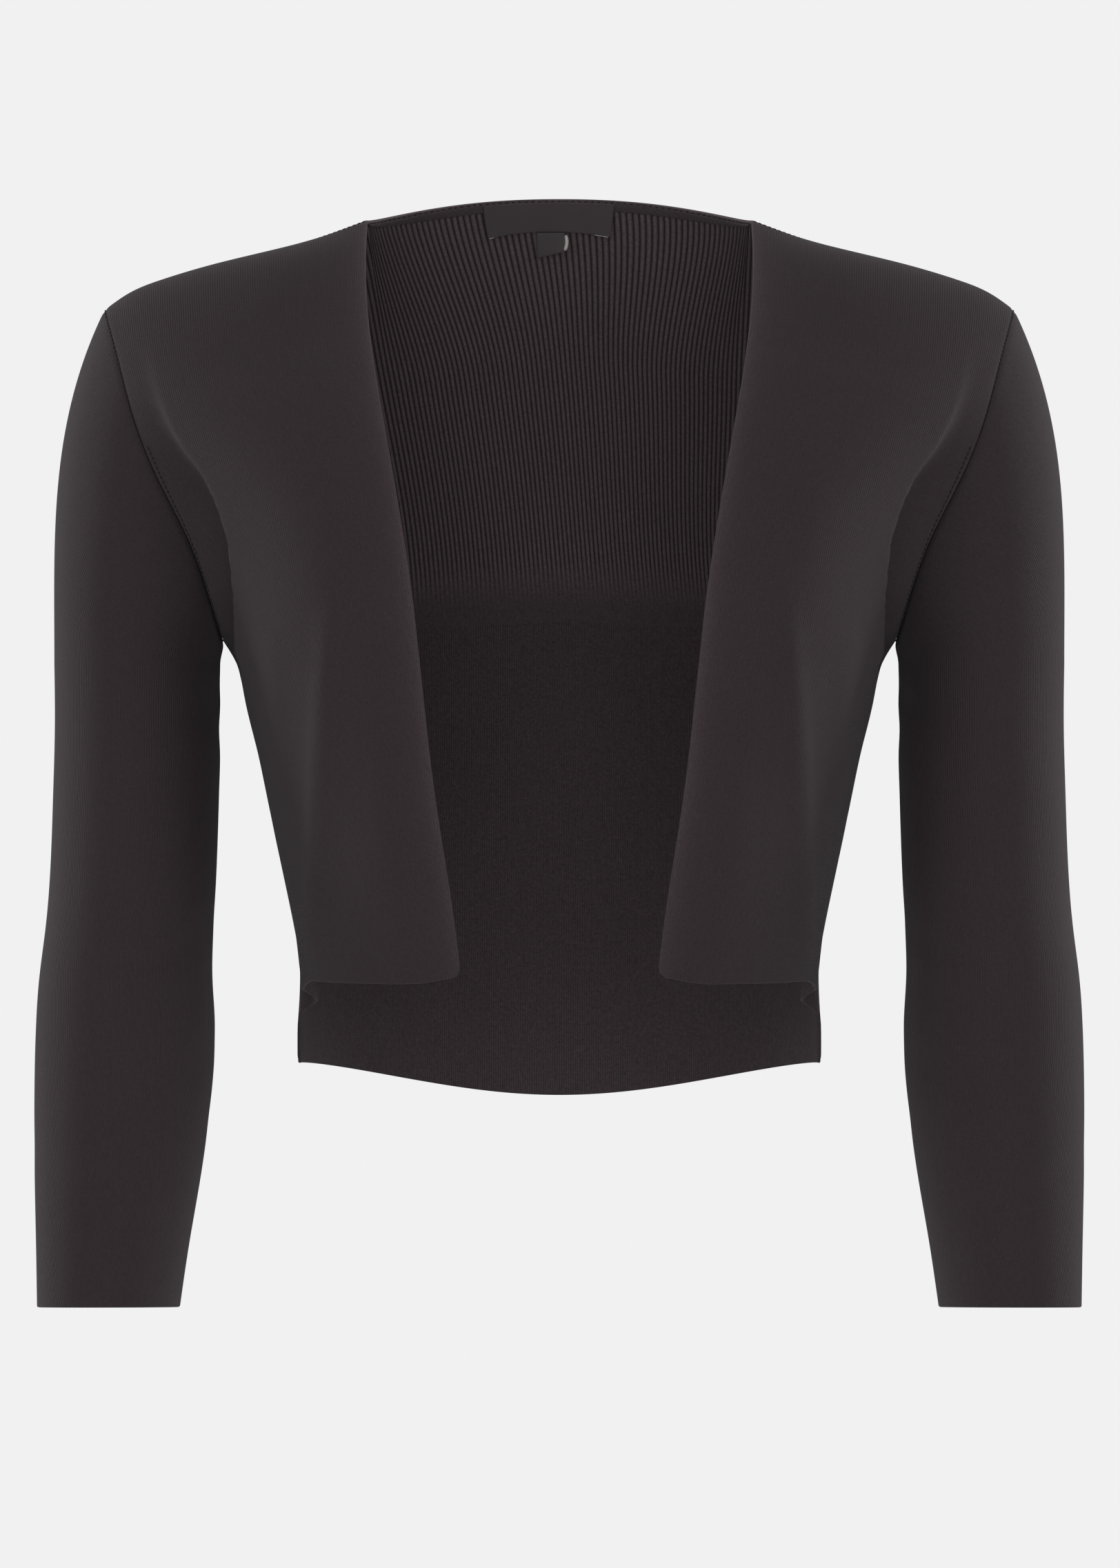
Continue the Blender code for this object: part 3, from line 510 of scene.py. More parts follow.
def rates(grid, axis, ring):
    """Central differences of a grid along one axis. In a ring the last point repeats the first."""
    if not ring:
        return np.gradient(grid, axis=axis)
    once = grid[:, :-1]
    step = np.roll(once, -1, axis=1) - np.roll(once, 1, axis=1)
    return np.concatenate([step, step[:, :1]], axis=1)


def normals(grid, ring=False):
    """Unit normals of a grid of points: rows cross columns."""
    return unit(np.cross(rates(grid, 1, ring), rates(grid, 0, False)))


def mirrored(points):
    """Points on the other side of the body."""
    return points * np.array((-1.0, 1.0, 1.0))


def lengths(grid, axis):
    """Running length along one axis of a grid of points."""
    steps = np.linalg.norm(np.diff(grid, axis=axis), axis=2)
    return np.concatenate([np.zeros_like(np.take(steps, [0], axis)), np.cumsum(steps, axis)], axis)


def cloth_places(grid, column=0):
    """Where each point lies in the flat knit: along its row from one column, and up its column."""
    across = lengths(grid, 1)
    return np.stack([across - across[:, [column]], lengths(grid, 0)], axis=2)


def shared_lean(own, other):
    """From the outer to the inner face at a seam: halfway between the ways of the two pieces."""
    both = (own + other) / 2.0
    size = np.linalg.norm(both, axis=-1, keepdims=True)
    return -both / size * WALL / np.maximum(size, MITRE_LIMIT)


def inner_face(grid, own, seam_lean, distance):
    """Inner points one wall behind the outer ones. Beside a seam they lean as its other piece does.

    The difference between the two ways fades as a bell with the distance from the seam.
    """
    plain = -own * WALL
    extra = seam_lean - (plain[:, -1:] if seam_lean.shape[1] == 1 else plain[:1])
    return grid + plain + extra * np.exp(-(distance / LEAN_REACH) ** 2)[:, :, None]


def sunk(grid, own, distance):
    """Outer points that sink towards a seam, as a bell of the distance from it."""
    return grid - own * (SEAM_DIP * np.exp(-(distance / SEAM_REACH) ** 2))[:, :, None]


def stop_short(grid, axis, end):
    """Draw a grid back from the seam at one of its ends; the shift fades with the distance."""
    run = lengths(grid, axis)
    total = np.take(run, [-1], axis)
    distance, way = (run, 1.0) if end == 0 else (total - run, -1.0)
    shift = way * SEAM_GAP * np.exp(-distance / SEAM_REACH)
    return grid + unit(np.gradient(grid, axis=axis)) * shift[..., None]


def swell(line, start, end):
    """How far a free edge bulges along its line; nothing outside the part between two lengths."""
    run = run_along(line)
    inside = np.minimum(run - run[start], run[end] - run)
    return ROUND_EDGE * WALL / 2.0 * np.sqrt(np.clip(inside / EDGE_FADE, 0.0, 1.0))


def rim(outer_line, inner_line, next_line, bulge):
    """Strip across the thickness of an edge, bulging away from the cloth as half an oval.

    Its points go round by: middle + half thickness * cosine + bulge * sine.
    """
    angle = np.linspace(0.0, math.pi, EDGE_TURNS + 1)[:, None, None]
    half = (outer_line - inner_line) / 2.0
    away = unit(outer_line - next_line) * np.reshape(bulge, (-1, 1))
    return outer_line - half + half * np.cos(angle) + away * np.sin(angle)


def grid_patch(points, place, number):
    """Points, four-sided faces, places in the knit and material number of a grid."""
    index = np.arange(points.shape[0] * points.shape[1]).reshape(points.shape[:2])
    faces = np.stack([index[:-1, :-1], index[:-1, 1:], index[1:, 1:], index[1:, :-1]], axis=2)
    return points.reshape(-1, 3), faces.reshape(-1, 4), place.reshape(-1, 2), number


def rim_patch(strip, place, number):
    """A rim's patch: it continues the knit of the edge that it starts from."""
    down = np.linspace(0.0, WALL, len(strip))[:, None, None] * np.array((0.0, 1.0))
    return grid_patch(strip, place[None] - down, number)


def zip_patch(many, many_share, many_place, few, few_share, few_place, number):
    """Triangles between a line of many points and a line of few.

    Each step of the many meets the nearest of the few, and each step of the few meets the point of
    the many where that nearest one changes.
    """
    middle = (many_share[1:] + many_share[:-1]) / 2.0
    bounds = (few_share[1:] + few_share[:-1]) / 2.0
    near = len(many) + np.searchsorted(bounds, middle)
    change = np.searchsorted(middle, bounds)
    first, second = np.arange(len(many)), len(many) + np.arange(len(few))
    faces = np.concatenate([np.stack([first[:-1], first[1:], near], axis=1),
                            np.stack([second[:-1], second[1:], change], axis=1)])
    return np.concatenate([many, few]), faces, np.concatenate([many_place, few_place]), number


def make_piece(name, patches, materials):
    """One closed mesh from patches: points that meet are merged, and faces are turned outwards."""
    sizes = np.cumsum([0] + [len(patch[0]) for patch in patches])
    faces = [patch[1] + start for patch, start in zip(patches, sizes)]
    mesh = bpy.data.meshes.new(name)
    mesh.from_pydata(np.concatenate([patch[0] for patch in patches]).tolist(), [],
                     [face for block in faces for face in block.tolist()])
    corners = np.concatenate([patch[2][patch[1].ravel()] for patch in patches])
    mesh.uv_layers.new(name="knit").data.foreach_set("uv", corners.astype(np.float32).ravel())
    numbers = np.concatenate([np.full(len(patch[1]), patch[3]) for patch in patches])
    mesh.polygons.foreach_set("material_index", numbers)
    work = bmesh.new()
    work.from_mesh(mesh)
    bmesh.ops.remove_doubles(work, verts=work.verts, dist=MERGED)
    bmesh.ops.recalc_face_normals(work, faces=work.faces)
    work.to_mesh(mesh)
    work.free()
    mesh.shade_smooth()
    for material in materials:
        mesh.materials.append(material)
    piece = bpy.data.objects.new(name, mesh)
    scene.collection.objects.link(piece)
    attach(piece, "root")
    return piece


def make_wall(name, outer, inner, edges, materials, first_number=FACE):
    """A plain wall as one piece: two faces, and a rim at its bottom, top, first and last side.

    Edges give each rim's bulge: nothing for a flat rim, and None for no rim.
    """
    place = cloth_places(outer)
    patches = [grid_patch(outer, place, FACE), grid_patch(inner, place, REVERSE)]
    ends = (0, 1, 0, FACE), (-1, -2, 0, FACE), (0, 1, 1, first_number), (-1, -2, 1, FACE)
    for bulge, (at, beside, axis, number) in zip(edges, ends):
        if bulge is not None:
            strip = rim(np.take(outer, at, axis), np.take(inner, at, axis),
                        np.take(outer, beside, axis), bulge)
            patches.append(rim_patch(strip, np.take(place, at, axis), number))
    return make_piece(name, patches, materials)


def group_start(name, inputs, outputs):
    """A new shader node group with named number, vector or colour sockets."""
    group = bpy.data.node_groups.new(name, "ShaderNodeTree")
    kinds = {"number": "NodeSocketFloat", "vector": "NodeSocketVector", "colour": "NodeSocketColor"}
    for socket, kind, value in inputs:
        made = group.interface.new_socket(name=socket, in_out="INPUT", socket_type=kinds[kind])
        if value is not None:
            made.default_value = value
    for socket, kind in outputs:
        group.interface.new_socket(name=socket, in_out="OUTPUT", socket_type=kinds[kind])
    return group, group.nodes.new("NodeGroupInput"), group.nodes.new("NodeGroupOutput")


def math_node(tree, operation, *values):
    """A Math node fed by numbers or sockets; returns its value socket."""
    return add_node(tree, "Math", enumerate(values), operation=operation).outputs["Value"]


def jersey_group():
    """Plain knit: rounded upright wales with a groove between them, crossed by the stitches.

    Height = (1 - off^2) * (1 - rise + rise * cosine(2 pi * (up + slant * off))) and the groove
    shade, a mask for the shade painted into the grooves, = off^sharpness, where off goes from one
    at a wale's edges to nothing in its middle, and up counts the courses.
    """
    group, start, end = group_start(
        "jersey_stitches",
        (("Place", "vector", None), ("Wale", "number", WALE), ("Course", "number", COURSE),
         ("Sharpness", "number", SHARP)),
        (("Height", "number"), ("Groove Shade", "number")))
    place = add_node(group, "SeparateXYZ", {"Vector": start.outputs["Place"]}).outputs
    wales = math_node(group, "DIVIDE", place["X"], start.outputs["Wale"])
    across = math_node(group, "FRACT", wales)
    off = math_node(group, "ABSOLUTE", math_node(group, "MULTIPLY_ADD", across, 2.0, -1.0))
    wale = math_node(group, "SUBTRACT", 1.0, math_node(group, "MULTIPLY", off, off))
    up = math_node(group, "DIVIDE", place["Y"], start.outputs["Course"])
    turns = math_node(group, "MULTIPLY_ADD", off, LOOP_SLANT, up)
    wave = math_node(group, "COSINE", math_node(group, "MULTIPLY", turns, 2.0 * math.pi))
    course = math_node(group, "MULTIPLY_ADD", wave, LOOP_RISE, 1.0 - LOOP_RISE)
    feed(group, end, {"Height": math_node(group, "MULTIPLY", wale, course),
                      "Groove Shade": math_node(group, "POWER", off, start.outputs["Sharpness"])})
    return group


def wool_group():
    """Slightly uneven wool: a soft wide cloud and fine flecks.

    Colour = base * (1 + cloud * wide noise + fleck * fine noise), both noises around nothing.
    """
    group, start, end = group_start(
        "wool_tone",
        (("Place", "vector", None), ("Base", "colour", None), ("Cloud", "number", 0.05),
         ("Fleck", "number", 0.07)),
        (("Colour", "colour"), ("Fuzz", "number")))
    wide, fine = (add_node(group, "TexNoise", {
        "Vector": start.outputs["Place"], "Scale": scale, "Detail": detail}).outputs["Fac"]
        for scale, detail in ((CLOUD_SCALE, CLOUD_DETAIL), (FLECK_SCALE, FLECK_DETAIL)))
    cloud, fleck = (math_node(group, "MULTIPLY_ADD", noise, 2.0, -1.0) for noise in (wide, fine))
    tone = math_node(group, "ADD", math_node(group, "MULTIPLY", cloud, start.outputs["Cloud"]),
                     math_node(group, "MULTIPLY_ADD", fleck, start.outputs["Fleck"], 1.0))
    shade = add_node(group, "VectorMath", {0: start.outputs["Base"], "Scale": tone},
                     operation="SCALE")
    feed(group, end, {"Colour": shade.outputs["Vector"], "Fuzz": fine})
    return group


JERSEY = jersey_group()
WOOL = wool_group()


def knit_material(name, color, wale, course, depth, groove_shade, sharpness, fleck, foot_color=None,
                  edge_highlight=0.0):
    """Fine wool knit: stitches and fuzz as bump, painted shade in the wale grooves, and a soft
    sheen.

    Where a foot colour is given, the painted groove shade and colour fade to plain cloth at its
    foot.
    Edge highlight is a painted highlight beside the first edge: 1 + edge highlight * e^(-distance /
    reach).
    """
    material, tree, shader = new_material(name)
    place = add_node(tree, "UVMap", uv_map="knit").outputs["UV"]
    stitches = add_node(tree, "Group", {"Place": place, "Wale": wale, "Course": course,
                                        "Sharpness": sharpness}, node_tree=JERSEY).outputs
    # Painted shade in the grooves between the wales.
    groove_shading = math_node(tree, "MULTIPLY", stitches["Groove Shade"], -groove_shade)
    base = (*color, 1.0)
    # The ribs' colour, lifted by painted light, fades to the foot colour here.
    if foot_color:
        up = add_node(tree, "SeparateXYZ", {"Vector": place}).outputs["Y"]
        span = {"Value": up, "From Min": RIB_FOOT[0], "From Max": RIB_FOOT[1]}
        rise = add_node(tree, "MapRange", span, interpolation_type="SMOOTHSTEP").outputs["Result"]
        groove_shading = math_node(tree, "MULTIPLY", groove_shading, rise)
        colours = {MIX_FACTOR: rise, MIX_FIRST: (*foot_color, 1.0), MIX_SECOND: base}
        base = add_node(tree, "Mix", colours, data_type="RGBA").outputs[MIX_RESULT]
    where = add_node(tree, "TexCoord").outputs["Object"]
    wool = add_node(tree, "Group", {"Place": where, "Base": base, "Fleck": fleck},
                    node_tree=WOOL).outputs
    painted_shading = math_node(tree, "ADD", groove_shading, 1.0)
    # Painted highlight beside the first edge.
    if edge_highlight:
        across = add_node(tree, "SeparateXYZ", {"Vector": place}).outputs["X"]
        fading = math_node(tree, "MULTIPLY", across, -1.0 / FRONT_HIGHLIGHT_REACH)
        fading = math_node(tree, "EXPONENT", fading)
        highlight_factor = math_node(tree, "MULTIPLY_ADD", fading, edge_highlight, 1.0)
        painted_shading = math_node(tree, "MULTIPLY", painted_shading, highlight_factor)
    shade = add_node(tree, "VectorMath", {0: wool["Colour"], "Scale": painted_shading}, operation="SCALE")
    height = math_node(tree, "MULTIPLY_ADD", wool["Fuzz"], FUZZ, stitches["Height"])
    bump = add_node(tree, "Bump", {"Distance": depth, "Height": height})
    feed(tree, shader, {**KNIT_SURFACE, "Base Color": shade.outputs["Vector"],
                        "Normal": bump.outputs["Normal"]})
    return material


# Each has: colour, wale, course, depth of the bump, painted shade and sharpness of the grooves,
# flecks.
knit_face = knit_material("knit_face", FACE_COLOR, WALE, COURSE, 0.17 * MM, 0.28, SHARP, 0.28)
# Painted light: the inside and its ribs are coloured lighter than the outside.
knit_reverse_painted_light = knit_material("knit_reverse_painted_light", REVERSE_PAINTED_LIGHT_COLOR, 1.03 * MM, 0.95 * MM, 0.30 * MM, 0.40,
                             SHARP, 0.50)
knit_ribs_painted_light = knit_material("knit_ribs_painted_light", RIB_PAINTED_LIGHT_COLOR, RIB_PITCH, 1.4 * MM, 0.16 * MM, 0.95, 1.6, 0.40,
                          RIB_FOOT_PAINTED_LIGHT_COLOR)
# Painted highlight: the turned edges are coloured much lighter than the knit.
knit_edge_highlight = knit_material("knit_edge_highlight", EDGE_HIGHLIGHT_COLOR, WALE, COURSE, 0.22 * MM, 0.35, SHARP, 0.20)
# Painted highlight: a front is coloured lighter beside its free edge.
knit_front_highlighted = knit_material("knit_front_highlighted", FACE_COLOR, WALE, COURSE, 0.17 * MM, 0.28, SHARP, 0.28,
                           edge_highlight=FRONT_EDGE_HIGHLIGHT)
KNIT_MATERIALS = (knit_face, knit_reverse_painted_light, knit_ribs_painted_light, knit_edge_highlight)
FRONT_MATERIALS = (knit_front_highlighted, knit_reverse_painted_light, knit_ribs_painted_light, knit_edge_highlight)

row_places = np.concatenate([
    with_edge_steps(np.arange(HEM_ROWS + 1) / HEM_ROWS, (0.0, None), ARMPIT[2] - SIDE_HEM),
    with_edge_steps(1.0 + np.arange(1, HOLE_ROWS + 1) / HOLE_ROWS, (None, 2.0), ROW_SPAN)])
armpit_row = int(np.argmin(np.abs(row_places - 1.0)))
neck_shares = np.linspace(0.0, 1.0, NECK_COLUMNS + 1)
shoulder_shares = with_edge_steps(np.linspace(0.0, 1.0, SHOULDER_COLUMNS + 1), (0.0, 1.0),
                                  SEAM_SPAN)
back_shares = np.concatenate([neck_shares * NECK_SHARE,
                              NECK_SHARE + shoulder_shares[1:] * (1.0 - NECK_SHARE)])
half_back = panel(
    lambda p: along(CENTRE_BACK, BACK_HEM, CHEST, NECK_RISE, p),
    lambda p: outer_edge(p, ARMHOLE_BACKWARD),
    np.concatenate([back_neck(neck_shares), shoulder_seam(shoulder_shares)[1:]]),
    1.0 - np.clip(back_shares / NECK_SHARE, 0.0, 1.0) ** UPRIGHT_BEND,
    BACK_SECTIONS, 1.0, row_places, back_shares)
back_hem = BACK_HEM + (SIDE_HEM - BACK_HEM) * (1.0 - np.cos(math.pi * back_shares)) / 2.0
half_back = lower_hem(half_back, row_places, back_hem)
whole_back = np.concatenate([mirrored(half_back[:, :0:-1]), half_back], axis=1)
whole_shares = np.concatenate([-back_shares[:0:-1], back_shares])
centre = len(back_shares) - 1

# Sleeves, first part: their outer form.
# It comes before the walls of the body, which lean towards it at the armholes. Each sleeve is one
# set-in three-quarter tube of the same knit, closed by a seam under the arm.
HEAD_RINGS = 36              # sleeve head, from the armhole to the level of the armpit
TUBE_RINGS = 96              # sleeve below it
SLEEVE_TURNS = 96
HEAD_START = np.array((0.44, 0.0, -0.90))   # how the sleeve leaves the shoulder tip
HEAD_PULL = 0.36             # share of its way for which it keeps that direction
HEAD_CLOSER = 1.5            # how much closer the rings stand near the armhole
CUFF_RAISE = 2.2 * MM        # the cuff's front stands a little higher than its sides
CUFF_BEND = -333.0 * MM      # level from which the rings tilt towards the cuff
CUFF_CURL = 4                # how suddenly they do

SLEEVE = table(
    "height inner outer forward half_depth",
    (-196.0, 149.2, 222.2, -1.0, 43.0),
    (-222.0, 148.9, 221.9, 0.0, 43.0),
    (-252.0, 149.6, 222.5, 2.0, 42.5),
    (-283.0, 150.5, 223.4, 5.0, 42.0),
    (-313.0, 151.8, 225.6, 8.0, 41.5),
    (-333.0, 152.2, 228.0, 10.0, 41.0),
    (-353.0, 151.0, 229.3, 12.0, 40.5),
    (-385.0, 152.4, 229.8, 15.5, 39.5),
    (-420.0, 156.8, 229.4, 19.5, 37.5),
    (-450.0, 161.8, 228.6, 22.5, 35.5),
    (-476.5, 165.6, 228.0, 25.0, 33.5),
)
# Soft creases: in front at the bend of the elbow, where the cloth gathers under the arm, and
# behind.
SLEEVE_CREASES = (
    # turn, height, depth, reach round the sleeve, half width, slant down per turn
    (0.9, -322.0, 0.9, 0.75, 9.0, -16.0),
    (1.3, -346.0, 0.7, 0.60, 7.0, -10.0),
    (0.5, -368.0, 0.6, 0.50, 8.0, -12.0),
    (0.4, -214.0, 0.8, 0.60, 8.0, -18.0),
    (6.0, -228.0, 0.9, 0.70, 9.0, 18.0),
    (5.2, -262.0, 0.7, 0.60, 9.0, 14.0),
    (4.6, -338.0, 0.8, 0.80, 10.0, 10.0),
    (5.6, -402.0, 0.6, 0.55, 8.0, 12.0),
    (2.4, -412.0, 0.5, 0.60, 9.0, 8.0),
)


def creased(rings, turn):
    """Rings of the sleeve pressed in along its creases.

    Each presses in: depth * bell(turn from middle / reach) * bell(height from its line / width).
    """
    press = np.zeros(rings.shape[:2])
    for middle, level, depth, reach, half_width, slant in SLEEVE_CREASES:
        away = (turn - middle + math.pi) % (2.0 * math.pi) - math.pi
        line = (level + slant * away) * MM
        across = np.exp(-((rings[:, :, 2] - line) / (half_width * MM)) ** 2)
        press += depth * MM * np.exp(-(away / reach) ** 2) * across
    return rings + press[:, :, None] * normals(rings, ring=True)


def sleeve_rings(height, turn):
    """Level ovals of the sleeve; turn 0 faces the body, a quarter turn faces forward.

    Each is: middle - half width * cosine aside, and - forward - half depth * sine backward.
    """
    inner, outer, forward, half_depth = (
        curve(SLEEVE["height"][::-1], SLEEVE[name][::-1], height)[:, None]
        for name in ("inner", "outer", "forward", "half_depth"))
    aside = (inner + outer) / 2.0 - (outer - inner) / 2.0 * np.cos(turn)
    backward = -forward - half_depth * np.sin(turn)
    return np.stack([aside, backward, np.broadcast_to(height[:, None], aside.shape)], axis=2)


def sleeve_form():
    """Outer points of the sleeve: rings from the armhole down, the last point of each as its first.

    The head runs on four-point curves from the armhole to the first level oval.
    """
    turn = np.linspace(0.0, 2.0 * math.pi, SLEEVE_TURNS + 1)
    share = np.minimum(turn, 2.0 * math.pi - turn) / math.pi
    loop = np.where((turn <= math.pi)[:, None], armhole(share, -ARMHOLE_FORWARD),
                    armhole(share, ARMHOLE_BACKWARD))
    first = sleeve_rings(SLEEVE["height"][:1], turn)[0]
    reach = np.linalg.norm(first - loop, axis=1)[:, None] * HEAD_PULL
    outward = (1.0 - np.cos(turn))[:, None] / 2.0
    start = unit(HEAD_START * np.concatenate([outward, outward, np.ones_like(outward)], axis=1))
    near = loop + start * reach
    far = first + np.array((0.0, 0.0, 1.0)) * reach
    t = ((np.arange(HEAD_RINGS) / HEAD_RINGS) ** HEAD_CLOSER)[:, None, None]
    head = four_point(t, loop, near, far, first)
    top, foot = SLEEVE["height"][0], SLEEVE["height"][-1]
    down = with_edge_steps(np.linspace(0.0, 1.0, TUBE_RINGS + 1), (None, 1.0), top - foot)
    rings = np.concatenate([head, sleeve_rings(top + (foot - top) * down, turn)])
    low = np.clip((rings[:, :, 2] - CUFF_BEND) / (foot - CUFF_BEND), 0.0, 1.0)
    rings[:, :, 2] += CUFF_RAISE * low ** CUFF_CURL * np.clip(np.sin(turn), 0.0, 1.0)[None, :]
    return rings, turn


sleeve_outer, sleeve_turn = sleeve_form()
sleeve_outer = creased(sleeve_outer, sleeve_turn)
sleeve_own = -normals(sleeve_outer, ring=True)

# Fronts, first part: their outer form.
# Each front is one panel of the same knit with a plain turned front edge and a small rounded corner
# at the hem. It is hollow beside the armhole, and falls below the bust in soft upright folds.
FRONT_HEM = -333.5 * MM
CORNER = 4.0 * MM            # rounded lower corner of each front
CORNER_EASE = 3.0 * MM       # beyond it the hem still falls this much
CORNER_SPAN = 13.0 * MM      # and over this length
TUCK_MIDDLE = 0.87           # share of the hem at which it is tucked in beside the side seam
TUCK_WIDTH = 0.035           # and half its width, as a share
TUCK_DEPTH = 7.5 * MM
TUCK_HEIGHT = 20.0 * MM      # height over which the tuck fades out
VALLEY_LEAN = 1.7            # how far the hollow beside the armhole is deeper towards the bust

FRONT_EDGE = table(
    "height aside backward",
    (-333.5, 42.3, -105.0),
    (-300.0, 46.4, -109.0),
    (-258.0, 52.6, -115.0),
    (-212.0, 57.8, -119.5),
    (-188.0, 60.4, -120.0),
    (-141.0, 66.9, -112.5),
    (-93.0, 75.4, -91.0),
    (-43.0, 83.4, -47.0),
    (-14.0, 85.1, -16.0),
    (0.0, 85.3, 4.0),
)
HEM_DROP = table(
    "share height",
    (0.0, -333.5),
    (0.66, -333.8),
    (0.76, -336.0),
    (0.83, -339.0),
    (0.88, -344.0),
    (0.93, -350.0),
    (1.0, -371.0),
)
# Hollow between the armhole seam and the edge of the bust, read at the row's place.
VALLEY = (
    # place, width, depth
    (0.93, 37.0, 0.0),
    (1.00, 39.0, 4.6),
    (1.06, 41.0, 7.8),
    (1.18, 43.5, 9.4),
    (1.30, 42.5, 9.6),
    (1.36, 39.0, 9.2),
    (1.44, 33.0, 7.8),
    (1.50, 26.0, 5.4),
    (1.56, 22.5, 2.9),
    (1.63, 20.0, 1.3),
    (1.75, 18.0, 0.0),
)
# Handles of each section from the front edge out.
FRONT_SECTIONS = (
    # place, near aside, near forward, far aside, far forward
    (0.00, 82.0, 107.0, 114.5, 62.0),
    (0.50, 92.0, 121.0, 130.0, 64.0),
    (1.00, 108.0, 129.0, 143.0, 76.0),
    (1.33, 114.0, 122.0, 148.0, 82.0),
    (1.62, 124.0, 84.0, 163.0, 72.0),
    (2.00, 124.0, 0.0, 162.0, 0.0),
)
# Soft folds: where the cloth turns from front to side, and shorter ones beside them.
FRONT_FOLDS = (
    # aside at the top, aside at the foot, top height, foot height, lift, half width
    (98.0, 107.0, -168.0, -334.0, 2.3, 5.0),
    (103.0, 104.0, -190.0, -330.0, 1.2, 12.0),
    (125.0, 120.0, -178.0, -262.0, 1.5, 6.0),
    (84.0, 90.0, -214.0, -306.0, -0.7, 8.0),
    (70.0, 63.0, -176.0, -262.0, 0.5, 9.0),
    (100.0, 92.0, -62.0, -128.0, 0.6, 12.0),
)


def hem_line(share, length):
    """Height of the front hem: rounded corner, nearly level stretch, then a drop at the side."""
    height = np.interp(share, HEM_DROP["share"] / MM, HEM_DROP["height"])
    inset = np.clip(CORNER - share * length, 0.0, CORNER)
    ease = CORNER_EASE * np.exp(-(share * length / CORNER_SPAN) ** 2)
    return height + ease + CORNER - np.sqrt(CORNER ** 2 - inset ** 2)


def tucked(grid, own, share):
    """The hem pushed in beside the side seam: a bell across the hem that fades upwards."""
    up = lengths(grid, 0)
    bell = np.exp(-((share - TUCK_MIDDLE) / TUCK_WIDTH) ** 2) * np.exp(-(up / TUCK_HEIGHT) ** 2)
    return grid - own * (TUCK_DEPTH * bell)[:, :, None]


def valley(grid, own, place, from_seam):
    """A hollow along the armhole, with a fairly sharp edge on the side of the bust.

    It goes in by: depth * sine(pi * d^lean), where d is the distance from the seam / width, to one.
    """
    where, width, depth = np.array(VALLEY).T
    width = np.interp(place, where, width)[:, None] * MM
    depth = np.interp(place, where, depth)[:, None] * MM
    part = np.clip(from_seam / width, 0.0, 1.0) ** VALLEY_LEAN
    return grid - own * (depth * np.sin(math.pi * part))[:, :, None]


front_shares = shoulder_shares
front_outer = panel(
    lambda p: along(FRONT_EDGE, FRONT_HEM, CHEST, 0.0, p),
    lambda p: outer_edge(p, -ARMHOLE_FORWARD),
    shoulder_seam(front_shares), np.zeros_like(front_shares), FRONT_SECTIONS, -1.0, row_places,
    front_shares)
front_width = lengths(front_outer[:1], 1)[0, -1]
front_outer = lower_hem(front_outer, row_places, hem_line(front_shares, front_width))
front_outer = front_outer + soft_folds(front_outer, FRONT_FOLDS) * normals(front_outer)
front_outer = tucked(front_outer, normals(front_outer), front_shares)
front_side = lengths(front_outer, 1)
front_side = front_side[:, -1:] - front_side
front_outer = valley(front_outer, normals(front_outer), row_places, front_side)
front_own = normals(front_outer)

# Back, second part: its wall.
# Its two faces stand one thickness of knit apart, and at the seams they lean to meet the pieces that
# are sewn on there. The inside is raised in its ribs, and the free edges are turned and round.
SEWN_FROM = NECK_SHARE + 1e-6               # share of a half back from which its top is sewn

back_own = -normals(whole_back)
hole_turn = np.clip(row_places - 1.0, 0.0, 1.0) * math.pi


def read_columns(at, knots, grid):
    """Points of each row of a grid, read between its columns at shares of its own."""
    low = np.clip(np.searchsorted(knots, at, side="right") - 1, 0, len(knots) - 2)
    part = ((at - knots[low]) / (knots[low + 1] - knots[low]))[..., None]
    rows = np.arange(len(grid))[:, None]
    return grid[rows, low] * (1.0 - part) + grid[rows, low + 1] * part


def sleeve_side(turn):
    """The sleeve's own way out along the armhole, at given turns."""
    return unit(read_line(sleeve_own[0], turn, sleeve_turn))


def body_lean(own_side, other_side, turn):
    """Shared lean of a panel's side: with the other panel to the armpit, then with the sleeve."""
    other = np.where((row_places <= 1.0)[:, None], other_side, sleeve_side(turn))
    return shared_lean(own_side, other)[:, None, :]


back_half_own = back_own[:, centre:]
back_lean = body_lean(back_half_own[:, -1], front_own[:, -1], 2.0 * math.pi - hole_turn)
back_reach = lengths(half_back, 1)
back_reach = back_reach[:, -1:] - back_reach
half_inner = inner_face(half_back, back_half_own, back_lean, back_reach)
up_to_shoulder = lengths(half_back, 0)
up_to_shoulder = up_to_shoulder[-1:] - up_to_shoulder + 1.0 * (back_shares < NECK_SHARE)
half_outer = sunk(half_back, back_half_own, np.minimum(back_reach, up_to_shoulder))

sewn = (back_shares > SEWN_FROM)[None, :, None]
half_outer, half_inner = (stop_short(grid, 1, -1) for grid in (half_outer, half_inner))
half_outer, half_inner = (np.where(sewn, stop_short(grid, 0, -1), grid)
                          for grid in (half_outer, half_inner))
back_hang = soft_folds(whole_back, BACK_FOLDS) * back_own
back_outer, back_inner = (np.concatenate([mirrored(grid[:, :0:-1]), grid], axis=1) + back_hang
                          for grid in (half_outer, half_inner))

